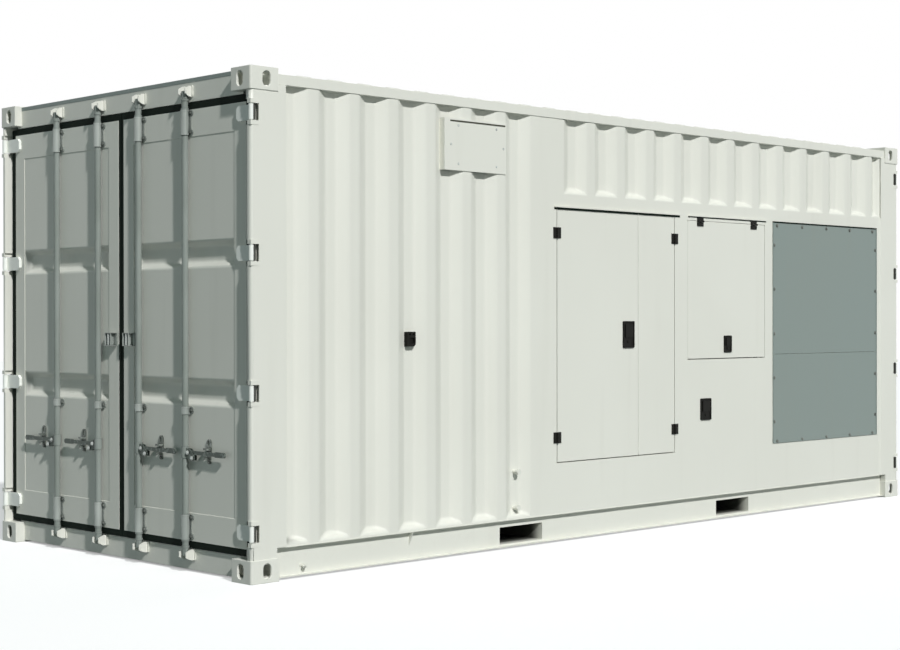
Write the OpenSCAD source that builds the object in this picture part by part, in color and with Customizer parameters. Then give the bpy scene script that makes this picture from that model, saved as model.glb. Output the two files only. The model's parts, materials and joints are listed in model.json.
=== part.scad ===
// Containerised diesel generator: a 20 ft steel container housing with cargo doors at both ends
// and a service frame with doors, a control flap and bolted air panels in each long side.
// Frame: X along the length (the cargo doors that open are at -X), Y across, Z up.
// The origin is the centre of the footprint, on the ground under the corner fittings.

/* [Container frame] */
// Length over the corner fittings
box_l = 6058; // [5000:1:12200]
// Width over the corner fittings
box_w = 2438; // [2000:1:3000]
// Height over the corner fittings
box_h = 2591; // [2150:1:3200]
// Length of a corner fitting
fit_l = 178; // [170:1:190]
// Width of a corner fitting
fit_w = 162; // [150:1:170]
// Height of a corner fitting
fit_h = 118; // [110:1:130]
// Thickness of a fitting's top and bottom
fit_seat_t = 28; // [22:1:32]
// Thickness of a fitting's sides
fit_skin_t = 15; // [10:1:20]
// How far the posts stand behind the faces of the fittings
post_inset = 5; // [2:1:10]
// Width of the post's narrow front face
post_face_w = 38; // [30:1:60]
// Plate thickness of the posts
post_t = 6; // [4:1:8]
// Plate thickness of headers and sills
beam_t = 5; // [4:1:8]
// Width of the post's flange over the side wall
post_flange_w = 60; // [40:1:120]

/* [Rails and floor] */
// Gap between the ground and the bottom side rail
rail_z = 12; // [8:1:20]
// Height of the bottom side rail
rail_h = 158; // [140:1:180]
// Width of the rail's top flange
rail_top_w = 38; // [32:1:60]
// Width of the rail's bottom flange
rail_bottom_w = 30; // [25:1:50]
// Thickness of the bottom side rail
rail_t = 4.5; // [3:0.5:8]
// Side of the square top rail
top_rail_w = 54; // [45:1:80]
// How far the top rail stands in front of the wall
top_rail_out = 5; // [0:0.5:8]
// Wall of the square top rail
top_rail_t = 4; // [3:0.5:6]
// Height of a floor cross member
cross_h = 120; // [90:1:130]
// Spacing of the floor cross members
cross_pitch = 290; // [200:1:400]
// Thickness of the steel floor plate
floor_t = 6; // [4:1:10]
// Width of a fork pocket
pocket_w = 360; // [300:1:400]
// Height of a fork pocket
pocket_h = 98; // [80:1:100]
// Plate thickness of a fork pocket
pocket_t = 6; // [5:1:10]
// Length of the strap under a fork pocket's mouth
pocket_strap = 200; // [100:10:300]
// Spacing of the two fork pockets
pocket_pitch = 2050; // [1800:1:2300]

/* [Walls and roof] */
// How far the wall stands inside the side faces of the fittings
wall_inset = 14; // [10:1:30]
// Thickness of pressed wall and roof sheet
sheet_t = 2; // [1.5:0.5:4]
// Pitch of the wall corrugation
corr_pitch = 278; // [250:1:320]
// Width of a wall groove at the face
corr_open = 206; // [150:1:220]
// Width of a groove's sloping side
corr_slope = 68; // [30:1:70]
// Depth of the wall corrugation
corr_depth = 36; // [20:1:45]
// Height of a groove's sloping foot
corr_foot = 26; // [15:1:40]
// Width of the steep side where a groove is cut short beside a post's flange
corr_end = 30; // [24:1:60]
// Height of the corrugated band over the service frame
band_h = 449; // [300:1:500]
// Pitch of the band's corrugation
band_pitch = 281; // [260:1:320]
// Pitch of the roof corrugation
roof_pitch = 209; // [180:1:240]
// Width of a roof crest
roof_crest = 91; // [60:1:100]
// Width of a crest's sloping side
roof_slope = 14; // [10:1:25]
// Rise of a roof crest
roof_rise = 17; // [10:1:22]

/* [Cargo doors] */
// Distance of a hinge pin from the end and side faces
pin_inset = 16; // [15:1:20]
// Radius of a cargo door hinge pin
pin_r = 7; // [5:0.5:9]
// Radius of a hinge knuckle
knuckle_r = 13.5; // [11:0.5:14]
// Height of a hinge blade
blade_h = 78; // [60:1:100]
// Height of a hinge lug on the post
lug_h = 22; // [15:1:30]
// Depth of a leaf
leaf_d = 46; // [42:1:60]
// Half of the gap between the two leaves
half_gap = 4; // [3:0.5:8]
// Width of the rubber seal round a leaf
seal_w = 40; // [30:1:45]
// Running gap between the seal and the door frame
seal_gap = 5; // [5:1:12]
// Width of a leaf's upright edge members
stile_w = 98; // [80:1:120]
// Height of a leaf's top member
leaf_head_h = 140; // [100:1:180]
// Height of a leaf's bottom member
leaf_foot_h = 145; // [100:1:180]
// Wall of the leaf's members
leaf_t = 3; // [2:0.5:5]
// Height of a pressed groove across a leaf
groove_h = 134; // [100:1:160]
// Distance between the two grooves of a leaf
groove_pitch = 720; // [500:1:900]
// Radius of a lock rod
rod_r = 17; // [14:0.5:17]
// Wall of a lock rod
rod_t = 3.2; // [2:0.1:5]
// Distance from the outer lock rod to the hinge pin
rod_from_pin = 573; // [400:1:600]
// Distance from the inner lock rod to the centre line
rod_from_middle = 200; // [150:1:260]
// Height of the handles over the door sill's top
handle_up = 505; // [300:1:900]
// Thickness of a handle's bar
handle_t = 11; // [8:1:14]
// Height of a handle's bar
handle_bar_h = 20; // [16:1:26]
// Length of a handle's grip
grip_l = 90; // [60:1:120]
// Height of a handle's grip
grip_h = 28; // [22:1:32]
// Largest radius of a rod's cam
cam_r = 21; // [19:0.5:22]
// Height of a rod's cam
cam_h = 40; // [30:1:50]
// Radius of a cam's lobes
cam_lobe_r = 9; // [7:0.5:10]
// Height of the collars on a rod
collar_h = 9; // [6:0.5:12]
// Distance of a keeper's horns from the axis of its rod
horn_in = 24; // [23:0.5:30]
// Thickness of a horn's web
horn_t = 8; // [6:0.5:12]
// Radius of the bead along a horn's front edge
horn_bead_r = 6; // [5:0.5:9]
// Height of a keeper
keeper_h = 56; // [40:1:60]
// Height of a rod's end bearings
bracket_h = 130; // [80:1:150]
// Height of a rod's middle guide
guide_h = 40; // [30:1:60]
// Width of the bearings' base plates
bearing_w = 92; // [70:1:110]
// Thickness of the bearings' base plates
bearing_t = 5; // [4:0.5:8]
// Height of the holdbacks over the door sill's top
holdback_up = 1090; // [800:1:1400]
// Size of a holdback's box across the leaf
holdback_w = 56; // [40:1:60]
// Height of a holdback's box
holdback_h = 72; // [50:1:90]
// Depth of a holdback's box
holdback_d = 30; // [20:1:30]
// Running clearance of pins and rods
run_gap = 0.4; // [0.2:0.1:0.6]

/* [Service frame] */
// Length of the service frame, from the far post's flange
frame_l = 3572; // [3500:1:4200]
// Height of the door sill over the rail
sill_h = 300; // [200:1:400]
// Distance from the top of the doors to the top of the container
head_drop = 606; // [560:1:700]
// Plate thickness of the frame and doors
plate_t = 3; // [2:0.5:4]
// Depth of the frame's returns
frame_d = 50; // [45:1:70]
// Depth of a door leaf
tray_d = 35; // [25:1:40]
// Gap round the doors
door_gap = 6; // [5:0.5:10]
// Width of the upright left of the doors
jamb_w = 21; // [15:1:60]
// Width of the wide door leaf
wide_w = 748; // [600:1:800]
// Width of the narrow door leaf
narrow_w = 355; // [300:1:400]
// Width of the upright between doors and control flap
door_mullion_w = 132; // [100:1:200]
// Width of the control flap
flap_w = 836; // [700:1:900]
// Height of the fixed panel under the control flap
flap_foot_h = 590; // [400:1:700]
// Height of the strip over the control flap
flap_head_h = 32; // [25:1:60]
// Width of the upright between control flap and air panels
air_mullion_w = 120; // [80:1:160]
// Width of the air panels
air_w = 1302; // [1000:1:1350]
// Overlap of the air panels on their frame
air_lap = 25; // [15:1:40]
// Height of the lower air panel
air_low_h = 605; // [400:1:700]
// Distance of the small hinges from a leaf's ends
hinge_end = 145; // [80:1:200]
// Height of a small hinge
hinge_h = 65; // [50:1:90]
// Depth of the paddle latches' cups in front of the wall
latch_d = 9; // [6:1:14]
// Width of the paddle latches' rims
latch_rim = 8; // [5:1:12]

/* [Wall fittings] */
// Length of the vent cover
vent_l = 492; // [400:1:560]
// Height of the vent cover
vent_h = 289; // [200:1:350]
// Depth of the vent cover
vent_d = 6; // [4:1:10]
// Distance of the vent cover from the service frame
vent_from_frame = 415; // [300:1:800]
// Distance of the vent cover from the top of the wall
vent_from_top = 68; // [40:1:200]
// Radius of a drain stub
stub_r = 13; // [8:1:20]
// Length of a drain stub without its cap
stub_l = 30; // [20:1:30]
// Radius over the corners of a stub's cap
stub_cap_r = 18; // [14:1:24]
// Thickness of a stub's cap
stub_cap_h = 14; // [8:1:16]
// Heights of the two drain stubs over the rail
stub_up = [61, 270];
// Width of a wall catch
catch_w = 62; // [50:1:66]
// Height of a wall catch
catch_h = 80; // [60:1:100]
// Depth of a wall catch
catch_d = 28; // [20:1:30]
// Radius of the earth stud
stud_r = 5; // [4:0.5:8]
// Length of the earth stud
stud_l = 40; // [25:1:42]
// Distance of the earth stud from the rail's end
stud_from_end = 181; // [60:1:400]
// Height of the earth stud over the rail's underside
stud_up = 48; // [25:1:80]

/* [Hidden] */
$fn = 40;
over = 10;

// Half sizes of the container
half_l = box_l / 2;
half_w = box_w / 2;

// Corner fitting apertures
slot_l = 124;
slot_w = 63.5;
slot_from_end = 102.5;
slot_from_side = 89.5;
eye_h = 79;
eye_w = 51;

// Levels
rail_top = rail_z + rail_h;
wall_top = box_h - 28 - top_rail_w;
door_top = box_h - head_drop;
door_sill = rail_top + sill_h;
band_z = wall_top - band_h;
pocket_z = rail_z + 15;
pocket_top = pocket_z + pocket_h;
pocket_edge = pocket_w / 2 + pocket_t;
floor_z = pocket_top + 17;

// Planes measured from the middle
wall_y = half_w - wall_inset;
post_y = half_w - post_inset;
post_x = half_l - post_inset;
pin_x = half_l - pin_inset;
pin_y = half_w - pin_inset;
rail_tip = wall_y + 2;
rail_back = rail_tip - rail_top_w;

// Cargo door planes along X, as distances from the middle
header_x = half_l - 46;
sill_x = half_l - 59;
leaf_x = half_l - 45;
stop_x = leaf_x - leaf_d - 8;
beam_x = stop_x - 59;
post_back_x = stop_x - 70;
post_in_y = half_w - 119;
rail_end_x = min(half_l - fit_l, post_back_x);

// Cargo door levels and edges, as distances from the middle
header_z = box_h - 131;
header_top = box_h - 6;
stop_z = header_z - 55;
sill_z = rail_z + 113;
leaf_z0 = sill_z + seal_gap + seal_w - 5;
leaf_z1 = header_z - seal_gap - seal_w + 5;
leaf_y1 = post_y - post_face_w - 11 - seal_w;
leaf_y0 = half_gap + 21;
hinge_zs = [for (k = [0:3]) 250 + k * (box_h - 481) / 3];
blade_x = pin_x - 22;
lug_gap = 4;
notch_h = blade_h + 2 * lug_gap + 2 * lug_h;
notch_d = 51;

// Header lip: thickness, depth of the recess under it, and height with the recess
lip_t = 3;
lip_d = 10;
lip_h = 20;

// Lock rods
rod_x = half_l - 23;
rod_ys = [rod_from_middle, pin_y - rod_from_pin];
rod_z0 = rail_z + 78;
rod_z1 = box_h - 75;
handle_z = sill_z + handle_up;
handle_l = rod_ys[1] - rod_ys[0] - 85;
catch_y = handle_l * 0.52;
bearing_r = rod_r + 4.8;
collar_r = rod_r + 3.5;
upper_bearing_z = leaf_z1 - 3 - bracket_h / 2;
lower_bearing_z = leaf_z0 + 9 + bracket_h / 2;
holdback_z = sill_z + holdback_up;

// Places along the service frame, from its door jamb to the far post
flange_x = post_back_x - post_flange_w;
frame_x0 = flange_x - frame_l;
door_x0 = frame_x0 + jamb_w;
wide_x0 = door_x0 + door_gap;
narrow_x0 = wide_x0 + wide_w + door_gap + 1;
narrow_x1 = narrow_x0 + narrow_w;
door_x1 = narrow_x1 + door_gap;
flap_x0 = door_x1 + door_mullion_w + door_gap;
flap_x1 = flap_x0 + flap_w;
air_x1 = flange_x - 55;
air_x0 = air_x1 - air_w;
flap_z0 = door_sill + flap_foot_h + door_gap;
flap_z1 = door_top - flap_head_h;
tray_z0 = door_sill + door_gap;
tray_z1 = door_top - door_gap;

// Small hinges: pin, knuckle, and the plate's start and reach from the pin and its thickness
small_pin_up = 7;
small_pin_r = 3;
small_knuckle_r = 6.5;
plate_start = 7.5;
plate_reach = 32;
plate_h = 5;
wide_pin_x = wide_x0 - door_gap / 2;
narrow_pin_x = narrow_x1 + door_gap / 2;
leaf_hinge_zs = [tray_z0 + hinge_end, tray_z1 - hinge_end];
flap_hinge_xs = [flap_x0 + 125, flap_x1 - 125];

// The wall's grooves from the door end, and the groove nearest to a place
first_groove = -flange_x + 50;
function groove_at(x) = first_groove + round((x - first_groove) / corr_pitch) * corr_pitch;

// How deep the wall's sheet lies behind its crests at a place
function wall_depth(x) =
    corr_depth * max(0, min(1, (corr_open / 2 - abs(x - groove_at(x))) / corr_slope));

// Where the open cargo door's holdback meets the wall
catch_x = groove_at(-pin_x + pin_y - 110);

// Colours
white_paint = [0.88, 0.88, 0.85];
grey_paint = [0.53, 0.57, 0.56];
zinc_steel = [0.56, 0.57, 0.55];
black_plastic = [0.10, 0.10, 0.10];
seal_rubber = [0.07, 0.07, 0.07];
floor_steel = [0.30, 0.31, 0.32];

// ---------- helpers ----------

// The piece and its mirror image on the other long side
module both_sides() {
    children();
    mirror([0, 1, 0]) children();
}

// The piece and its mirror image at the other end
module both_ends() {
    children();
    mirror([1, 0, 0]) children();
}

// Outline extruded along X, drawn with Y across and Z up
module along_x(x0, x1) {
    translate([x0, 0, 0]) rotate([90, 0, 90]) linear_extrude(x1 - x0) children();
}

// Outline extruded across Y, drawn with X across and Z up
module across_y(y0, y1) {
    translate([0, y1, 0]) rotate([90, 0, 0]) linear_extrude(y1 - y0) children();
}

// Outline extruded upwards between two levels
module upwards(z0, z1) {
    translate([0, 0, z0]) linear_extrude(z1 - z0) children();
}

// Long hole with round ends, its long side along X
module stadium(l, w) {
    square([l - w, w], center = true);
    for (s = [-1, 1]) translate([s * (l - w) / 2, 0]) circle(d = w);
}

// Rectangle with round corners
module rounded_2d(w, h, r) {
    square([w - 2 * r, h], center = true);
    square([w, h - 2 * r], center = true);
    for (x = [-1, 1], y = [-1, 1]) translate([x * (w / 2 - r), y * (h / 2 - r)]) circle(r);
}

// Box given by two corners
module block(a, b) {
    translate(a) cube(b - a);
}

// Trapezoid of one pressed groove: mouth at Y = 0, bottom at Y = depth
module groove_2d(wide, slope, depth) {
    polygon([
        [-wide / 2, -over], [-wide / 2, 0], [-wide / 2 + slope, depth],
        [wide / 2 - slope, depth], [wide / 2, 0], [wide / 2, -over]
    ]);
}

// ---------- frame of the container ----------

// Hollow casting with its outer lower corner at the origin; the slot is in its seat
module corner_fitting() {
    difference() {
        linear_extrude(fit_h) difference() {
            square([fit_l, fit_w]);
            difference() {
                square(12);
                translate([12, 12]) circle(12);
            }
        }
        block([fit_skin_t, fit_skin_t, fit_seat_t],
              [fit_l - fit_skin_t, fit_w - fit_skin_t, fit_h - fit_seat_t]);
        translate([slot_from_end, slot_from_side, -1])
            linear_extrude(fit_seat_t + 2) stadium(slot_l, slot_w);
        translate([slot_from_end, -1, fit_h / 2]) rotate([-90, 90, 0])
            linear_extrude(fit_skin_t + 2) stadium(eye_h, eye_w);
        translate([-1, slot_from_side, fit_h / 2]) rotate([90, 90, 90])
            linear_extrude(fit_skin_t + 2) stadium(eye_h, eye_w);
    }
}

module bottom_corner_fittings() {
    color(white_paint) both_ends() both_sides()
        translate([-half_l, -half_w, 0]) corner_fitting();
}

module top_corner_fittings() {
    color(white_paint) both_ends() both_sides()
        translate([-half_l, -half_w, box_h]) mirror([0, 0, 1]) corner_fitting();
}

// Post outline in plan for the -X -Y corner, grown inwards by t
module post_2d(t) {
    polygon([
        [-post_x + t, -post_y + t], [-post_back_x - t, -post_y + t],
        [-post_back_x - t, -post_in_y - t], [-stop_x + t, -post_in_y - t],
        [-stop_x + t, -post_y + post_face_w - t], [-post_x + t, -post_y + post_face_w - t]
    ]);
}

// Lugs above and below a hinge blade that carry its pin
module post_lugs(z) {
    for (s = [-1, 1])
        translate([0, 0, z + s * (notch_h - lug_h) / 2])
            difference() {
                translate([-post_x - 2, -post_y - 2, -lug_h / 2]) cube([notch_d + 2, 28, lug_h]);
                translate([-pin_x, -pin_y, -lug_h]) cylinder(r = pin_r + run_gap, h = 2 * lug_h);
            }
}

module corner_post() {
    difference() {
        upwards(fit_h, box_h - fit_h) difference() {
            post_2d(0);
            post_2d(post_t);
        }
        for (z = hinge_zs)
            block([-post_x - over, -post_y - over, z - notch_h / 2],
                  [-post_x + notch_d, -post_y + post_face_w + over, z + notch_h / 2]);
    }
    for (z = hinge_zs) post_lugs(z);
    difference() {
        block([-post_back_x, -post_y, rail_top], [-flange_x, -post_y + post_t, wall_top]);
        fitting_room();
    }
}

module corner_posts() {
    color(white_paint) both_ends() both_sides() corner_post();
}

// Room that the corner fittings take at one end
module fitting_room() {
    both_sides() for (z = [0, box_h - fit_h])
        block([-half_l - over, -half_w - over, z], [-half_l + fit_l, -half_w + fit_w, z + fit_h]);
}

// Header outline: front box with a lower stop behind the door and a recess under its top lip
module header_2d() {
    polygon([
        [-header_x, header_z], [-stop_x, header_z], [-stop_x, stop_z], [-beam_x, stop_z],
        [-beam_x, header_top], [-header_x, header_top], [-header_x, header_top - lip_t],
        [-header_x + lip_d, header_top - lip_t], [-header_x + lip_d, header_top - lip_h],
        [-header_x, header_top - lip_h]
    ]);
}

// Hollow of the header, t inside its outline
module header_hollow_2d(t) {
    polygon([
        [-header_x + t, header_z + t], [-stop_x + t, header_z + t], [-stop_x + t, stop_z + t],
        [-beam_x - t, stop_z + t], [-beam_x - t, header_top - t],
        [-header_x + lip_d + t, header_top - t], [-header_x + lip_d + t, header_top - lip_h - t],
        [-header_x + t, header_top - lip_h - t]
    ]);
}

module end_headers() {
    color(white_paint) both_ends() difference() {
        across_y(-post_in_y, post_in_y) difference() {
            header_2d();
            header_hollow_2d(beam_t);
        }
        fitting_room();
    }
}

// Sill outline: low front box with a raised stop behind the door, grown inwards by t
module sill_2d(t) {
    polygon([
        [-sill_x + t, rail_z + t], [-beam_x - t, rail_z + t], [-beam_x - t, rail_top - t],
        [-stop_x + t, rail_top - t], [-stop_x + t, sill_z - t], [-sill_x + t, sill_z - t]
    ]);
}

module end_sills() {
    color(white_paint) both_ends() difference() {
        across_y(-post_in_y, post_in_y) difference() {
            sill_2d(0);
            sill_2d(beam_t);
        }
        fitting_room();
    }
}

// The bottom side rail is a channel with its flanges outwards, cut out for the fork pockets.
// It is drawn as webs beside the pockets and a flange angle above and below them.
module side_rail_webs() {
    inner = (pocket_pitch - pocket_w) / 2;
    outer = (pocket_pitch + pocket_w) / 2;
    color(white_paint) both_sides()
        for (x = [[-rail_end_x, -outer], [-inner, inner], [outer, rail_end_x]])
            block([x[0], -rail_back - rail_t, pocket_z], [x[1], -rail_back, pocket_top]);
}

module side_rail_top_flanges() {
    color(white_paint) both_sides() along_x(-rail_end_x, rail_end_x) {
        translate([-rail_back - rail_t, pocket_top]) square([rail_t, rail_top - pocket_top]);
        translate([-rail_tip, rail_top - rail_t]) square([rail_top_w, rail_t]);
    }
}

module side_rail_bottom_flanges() {
    color(white_paint) both_sides() along_x(-rail_end_x, rail_end_x) {
        translate([-rail_back - rail_t, rail_z]) square([rail_t, pocket_z - rail_z]);
        translate([-rail_back - rail_bottom_w, rail_z]) square([rail_bottom_w, rail_t]);
    }
}

// Gusset under the near rail's top flange, below the wall catch
module rail_gusset() {
    t = 6;
    web = -rail_back - rail_t;
    top = rail_top - rail_t;
    along_x(catch_x - t / 2, catch_x + t / 2)
        polygon([[-rail_tip, top], [web, top], [web, top - 2 * rail_top_w]]);
}

module rail_fittings() {
    color(white_paint) {
        rail_gusset();
        earth_stud();
    }
}

// Stud with two washers and nuts for the earth lead, on the near rail's web
module earth_stud() {
    washer_r = 2.6 * stud_r;
    washer_t = 2.5;
    nut_r = 1.95 * stud_r;
    nut_h = 1.6 * stud_r;
    tip = 5.5;
    translate([-rail_end_x + stud_from_end, -rail_back - rail_t, rail_z + stud_up]) rotate([90, 0, 0]) {
        cylinder(r = stud_r, h = stud_l);
        for (z = [0, stud_l - tip - nut_h - washer_t]) translate([0, 0, z]) {
            cylinder(r = washer_r, h = washer_t);
            translate([0, 0, washer_t]) cylinder(r = nut_r, h = nut_h, $fn = 6);
        }
    }
}

module top_side_rails() {
    front = -wall_y - top_rail_out;
    color(white_paint) both_sides() difference() {
        block([-half_l + fit_l, front, wall_top],
              [half_l - fit_l, front + top_rail_w, wall_top + top_rail_w]);
        block([-half_l, front + top_rail_t, wall_top + top_rail_t],
              [half_l, front + top_rail_w - top_rail_t, wall_top + top_rail_w - top_rail_t]);
    }
}

// Roof sheet with its crests, before the underside is cut away
module roof_form(grow) {
    roof_z = wall_top + top_rail_w;
    side = wall_y - 15;
    n = floor((2 * beam_x - 200) / roof_pitch);
    block([-beam_x - grow, -side - grow, roof_z - grow], [beam_x + grow, side + grow, roof_z + sheet_t]);
    intersection() {
        across_y(-side, side)
            for (k = [0:n - 1]) translate([(k - (n - 1) / 2) * roof_pitch, roof_z + sheet_t])
                polygon([
                    [-roof_crest / 2 - roof_slope, -sheet_t / 2], [-roof_crest / 2 - roof_slope, 0],
                    [-roof_crest / 2, roof_rise], [roof_crest / 2, roof_rise],
                    [roof_crest / 2 + roof_slope, 0], [roof_crest / 2 + roof_slope, -sheet_t / 2]
                ]);
        along_x(-beam_x, beam_x) translate([0, roof_z + sheet_t])
            polygon([
                [-side + 30, -sheet_t], [-side + 30, 0], [-side + 60, roof_rise],
                [side - 60, roof_rise], [side - 30, 0], [side - 30, -sheet_t]
            ]);
    }
}

module roof_panel() {
    color(white_paint) difference() {
        roof_form(0);
        translate([0, 0, -sheet_t]) roof_form(over);
        both_ends() fitting_room();
    }
}

module floor_plate() {
    color(floor_steel) upwards(floor_z, floor_z + floor_t) {
        square([2 * post_back_x, 2 * rail_back], center = true);
        square([2 * beam_x, 2 * post_in_y], center = true);
    }
}

module floor_cross_members() {
    n = floor((beam_x - 100) / cross_pitch);
    clear = pocket_w / 2 + 60;
    xs = [for (k = [-n:n]) if (abs(abs(k * cross_pitch) - pocket_pitch / 2) > clear) k * cross_pitch];
    color(floor_steel) for (x = xs) translate([x, 0, 0])
        across_y(-rail_back, rail_back) difference() {
            translate([-20, floor_z - cross_h]) square([40, cross_h]);
            translate([-16, floor_z - cross_h + 4]) square([40, cross_h - 8]);
        }
}

// A piece of both fork pockets, which run right across between the two rails
module at_fork_pockets() {
    color(white_paint) for (s = [-1, 1]) translate([s * pocket_pitch / 2, 0, 0]) children();
}

module fork_pocket_cheeks() {
    at_fork_pockets() for (x = [-pocket_edge, pocket_edge - pocket_t])
        block([x, -rail_back, pocket_z], [x + pocket_t, rail_back, floor_z]);
}

module fork_pocket_tops() {
    inner = pocket_w / 2;
    at_fork_pockets() block([-inner, -rail_back, pocket_top], [inner, rail_back, pocket_top + pocket_t]);
}

// Straps that close the pockets' undersides at their mouths
module fork_pocket_straps() {
    at_fork_pockets() for (y = [-rail_back, rail_back - pocket_strap])
        block([-pocket_edge, y, pocket_z - pocket_t], [pocket_edge, y + pocket_strap, pocket_z]);
}

// ---------- walls ----------

// Grooves at the given places, with a sloping foot at z0 and open at the top
module wall_grooves(centres, z0) {
    intersection() {
        upwards(z0 - 1, box_h) intersection() {
            for (c = centres) translate([c, -wall_y]) groove_2d(corr_open, corr_slope, corr_depth);
            translate([0, -wall_y]) groove_2d(2 * flange_x - 2, corr_end, corr_depth);
        }
        along_x(-half_l, half_l) translate([-wall_y, z0])
            polygon([[-over, 0], [0, 0], [corr_depth, corr_foot], [corr_depth, box_h], [-over, box_h]]);
    }
}

// Pressed sheet: a slab with its grooves, less the same form one thickness further in
module pressed_wall(x0, x1, z0, z1, centres) {
    back = -wall_y + corr_depth + sheet_t;
    difference() {
        block([x0, -wall_y, z0], [x1, back, z1]);
        wall_grooves(centres, z0 + 15);
        translate([0, sheet_t, 0]) difference() {
            block([x0 - over, -wall_y, z0 - over], [x1 + over, back + over, z1 + over]);
            wall_grooves(centres, z0 + 15);
        }
        both_ends() fitting_room();
    }
}

module corrugated_walls() {
    n = floor((frame_x0 - 100 - first_groove) / corr_pitch) + 1;
    centres = [for (k = [0:n - 1]) first_groove + k * corr_pitch];
    color(white_paint) both_sides() pressed_wall(-post_back_x, frame_x0, rail_top, wall_top, centres);
}

module upper_wall_bands() {
    first = frame_x0 + 192;
    n = floor((post_back_x - first) / band_pitch) + 1;
    centres = [for (k = [0:n - 1]) first + k * band_pitch];
    color(white_paint) both_sides() pressed_wall(frame_x0, post_back_x, band_z, wall_top, centres);
}

// Folded upright from x0 to x1: face, two returns and, where asked, lips behind a leaf
module upright_2d(x0, x1, left_lip, right_lip) {
    translate([x0, -wall_y]) square([x1 - x0, plate_t]);
    for (x = [x0, x1 - plate_t]) translate([x, -wall_y]) square([plate_t, frame_d]);
    translate([x0 - left_lip, -wall_y + frame_d - plate_t]) square([left_lip + plate_t, plate_t]);
    translate([x1 - plate_t, -wall_y + frame_d - plate_t]) square([right_lip + plate_t, plate_t]);
}

module service_frame_uprights() {
    lip = 16;
    color(white_paint) both_sides() upwards(door_sill, door_top) {
        upright_2d(frame_x0, door_x0, 0, lip);
        upright_2d(door_x1, flap_x0 - door_gap, lip, lip);
        upright_2d(flap_x1 + door_gap, air_x0 + air_lap, lip, 0);
        upright_2d(air_x1 - air_lap, post_back_x, 0, 0);
    }
}

// Face plate with a return of depth d at its upper or lower edge
module frame_strip_2d(z0, z1, return_z, d) {
    translate([-wall_y, z0]) square([plate_t, z1 - z0]);
    translate([-wall_y, return_z]) square([d, plate_t]);
}

module service_frame_sills() {
    color(white_paint) both_sides() {
        along_x(frame_x0, post_back_x) frame_strip_2d(rail_top, door_sill, door_sill - plate_t, frame_d);
        along_x(air_x0 + air_lap, air_x1 - air_lap)
            translate([-wall_y, door_sill - plate_t]) square([plate_t, air_lap + door_gap + plate_t]);
    }
}

module service_frame_lintels() {
    color(white_paint) both_sides() {
        along_x(frame_x0, post_back_x) frame_strip_2d(door_top, band_z, door_top, frame_d);
        along_x(flap_x0 - door_gap, flap_x1 + door_gap)
            frame_strip_2d(flap_z1 + door_gap, door_top + plate_t, flap_z1 + door_gap, frame_d - plate_t);
        along_x(air_x0 + air_lap, air_x1 - air_lap)
            translate([-wall_y, door_top - air_lap]) square([plate_t, air_lap + plate_t]);
    }
}

module control_lower_panels() {
    color(white_paint) both_sides() along_x(flap_x0 - door_gap, flap_x1 + door_gap)
        frame_strip_2d(door_sill, flap_z0 - door_gap, flap_z0 - door_gap - plate_t, frame_d - plate_t);
}

// Grey cover sheet bolted over the air opening
module air_panel(z0, z1) {
    block([air_x0, -wall_y - plate_t, z0], [air_x1, -wall_y, z1]);
}

module upper_air_panels() {
    color(grey_paint) both_sides() air_panel(door_sill + air_low_h + 8, door_top);
}

module lower_air_panels() {
    color(grey_paint) both_sides() air_panel(door_sill + door_gap, door_sill + door_gap + air_low_h);
}

// Shallow cover tray over two grooves near the top of the near wall, with a slot and screw
// holes, and a deep return on the side that stands over a groove
module vent_cover() {
    x1 = frame_x0 - vent_from_frame;
    x0 = x1 - vent_l;
    z1 = wall_top - vent_from_top;
    z0 = z1 - vent_h;
    t = vent_d / 2;
    front = -wall_y - vent_d;
    color(white_paint) {
        difference() {
            block([x0, front, z0], [x1, -wall_y, z1]);
            block([x0 + t, front + t, z0 + t], [x1 - t, -wall_y + 1, z1 - t]);
            block([x0 + 45, front - 1, z1 - 19], [x1 - 6, -wall_y, z1 - 9]);
            for (p = [[52, vent_h / 2], [109, 38], [109, vent_h - 38]]) {
                vent_screw_hole(x0 + p[0], z0 + p[1]);
                vent_screw_hole(x1 - p[0] + 30, z0 + p[1]);
            }
        }
        block([x0, front + t, z0], [x0 + t, -wall_y + min(wall_depth(x0), wall_depth(x0 + t)), z1]);
    }
}

module vent_screw_hole(x, z) {
    translate([x, -wall_y, z]) rotate([90, 0, 0]) cylinder(r = 4, h = vent_d + 1);
}

module rain_gutters() {
    color(white_paint) both_sides()
        for (x = [[frame_x0, door_x1 + 51], [flap_x0, flap_x1 + 18]])
            along_x(x[0], x[1]) translate([-wall_y, door_top]) {
                translate([-12, 0]) square([12, 3]);
                translate([-12, 0]) square([3, 8]);
            }
}

// ---------- fixed fittings ----------

// Plan of one horn of a keeper: a web with a bead along its front edge
module horn_2d(depth) {
    translate([-depth + horn_bead_r, horn_in]) square([depth - horn_bead_r, horn_t]);
    translate([-depth + horn_bead_r, horn_in + horn_bead_r]) circle(horn_bead_r);
}

// Side view of a horn: it narrows to its front edge
module horn_side_2d(depth) {
    h = keeper_h / 2;
    polygon([
        [1, -h], [-depth * 0.4, -h], [-depth - 1, -h * 0.45],
        [-depth - 1, h * 0.45], [-depth * 0.4, h], [1, h]
    ]);
}

// Keeper of a lock rod's cam on the face at x: two horns on feet, open to the front
module keeper(x, y, z) {
    depth = half_l - 1 - x;
    foot_w = 2 * horn_bead_r + 8;
    translate([-x, -y, z]) both_sides() {
        intersection() {
            upwards(-keeper_h / 2, keeper_h / 2) horn_2d(depth);
            across_y(0, horn_in + 2 * horn_bead_r + 1) horn_side_2d(depth);
        }
        translate([0, horn_in + foot_w / 2, 0]) along_x(-5, 0) rounded_2d(foot_w, keeper_h + 6, 8);
    }
}

module end_keepers() {
    both_sides() for (y = rod_ys) {
        keeper(header_x, y, header_z + 55);
        keeper(sill_x, y, sill_z - 32);
    }
}

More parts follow.
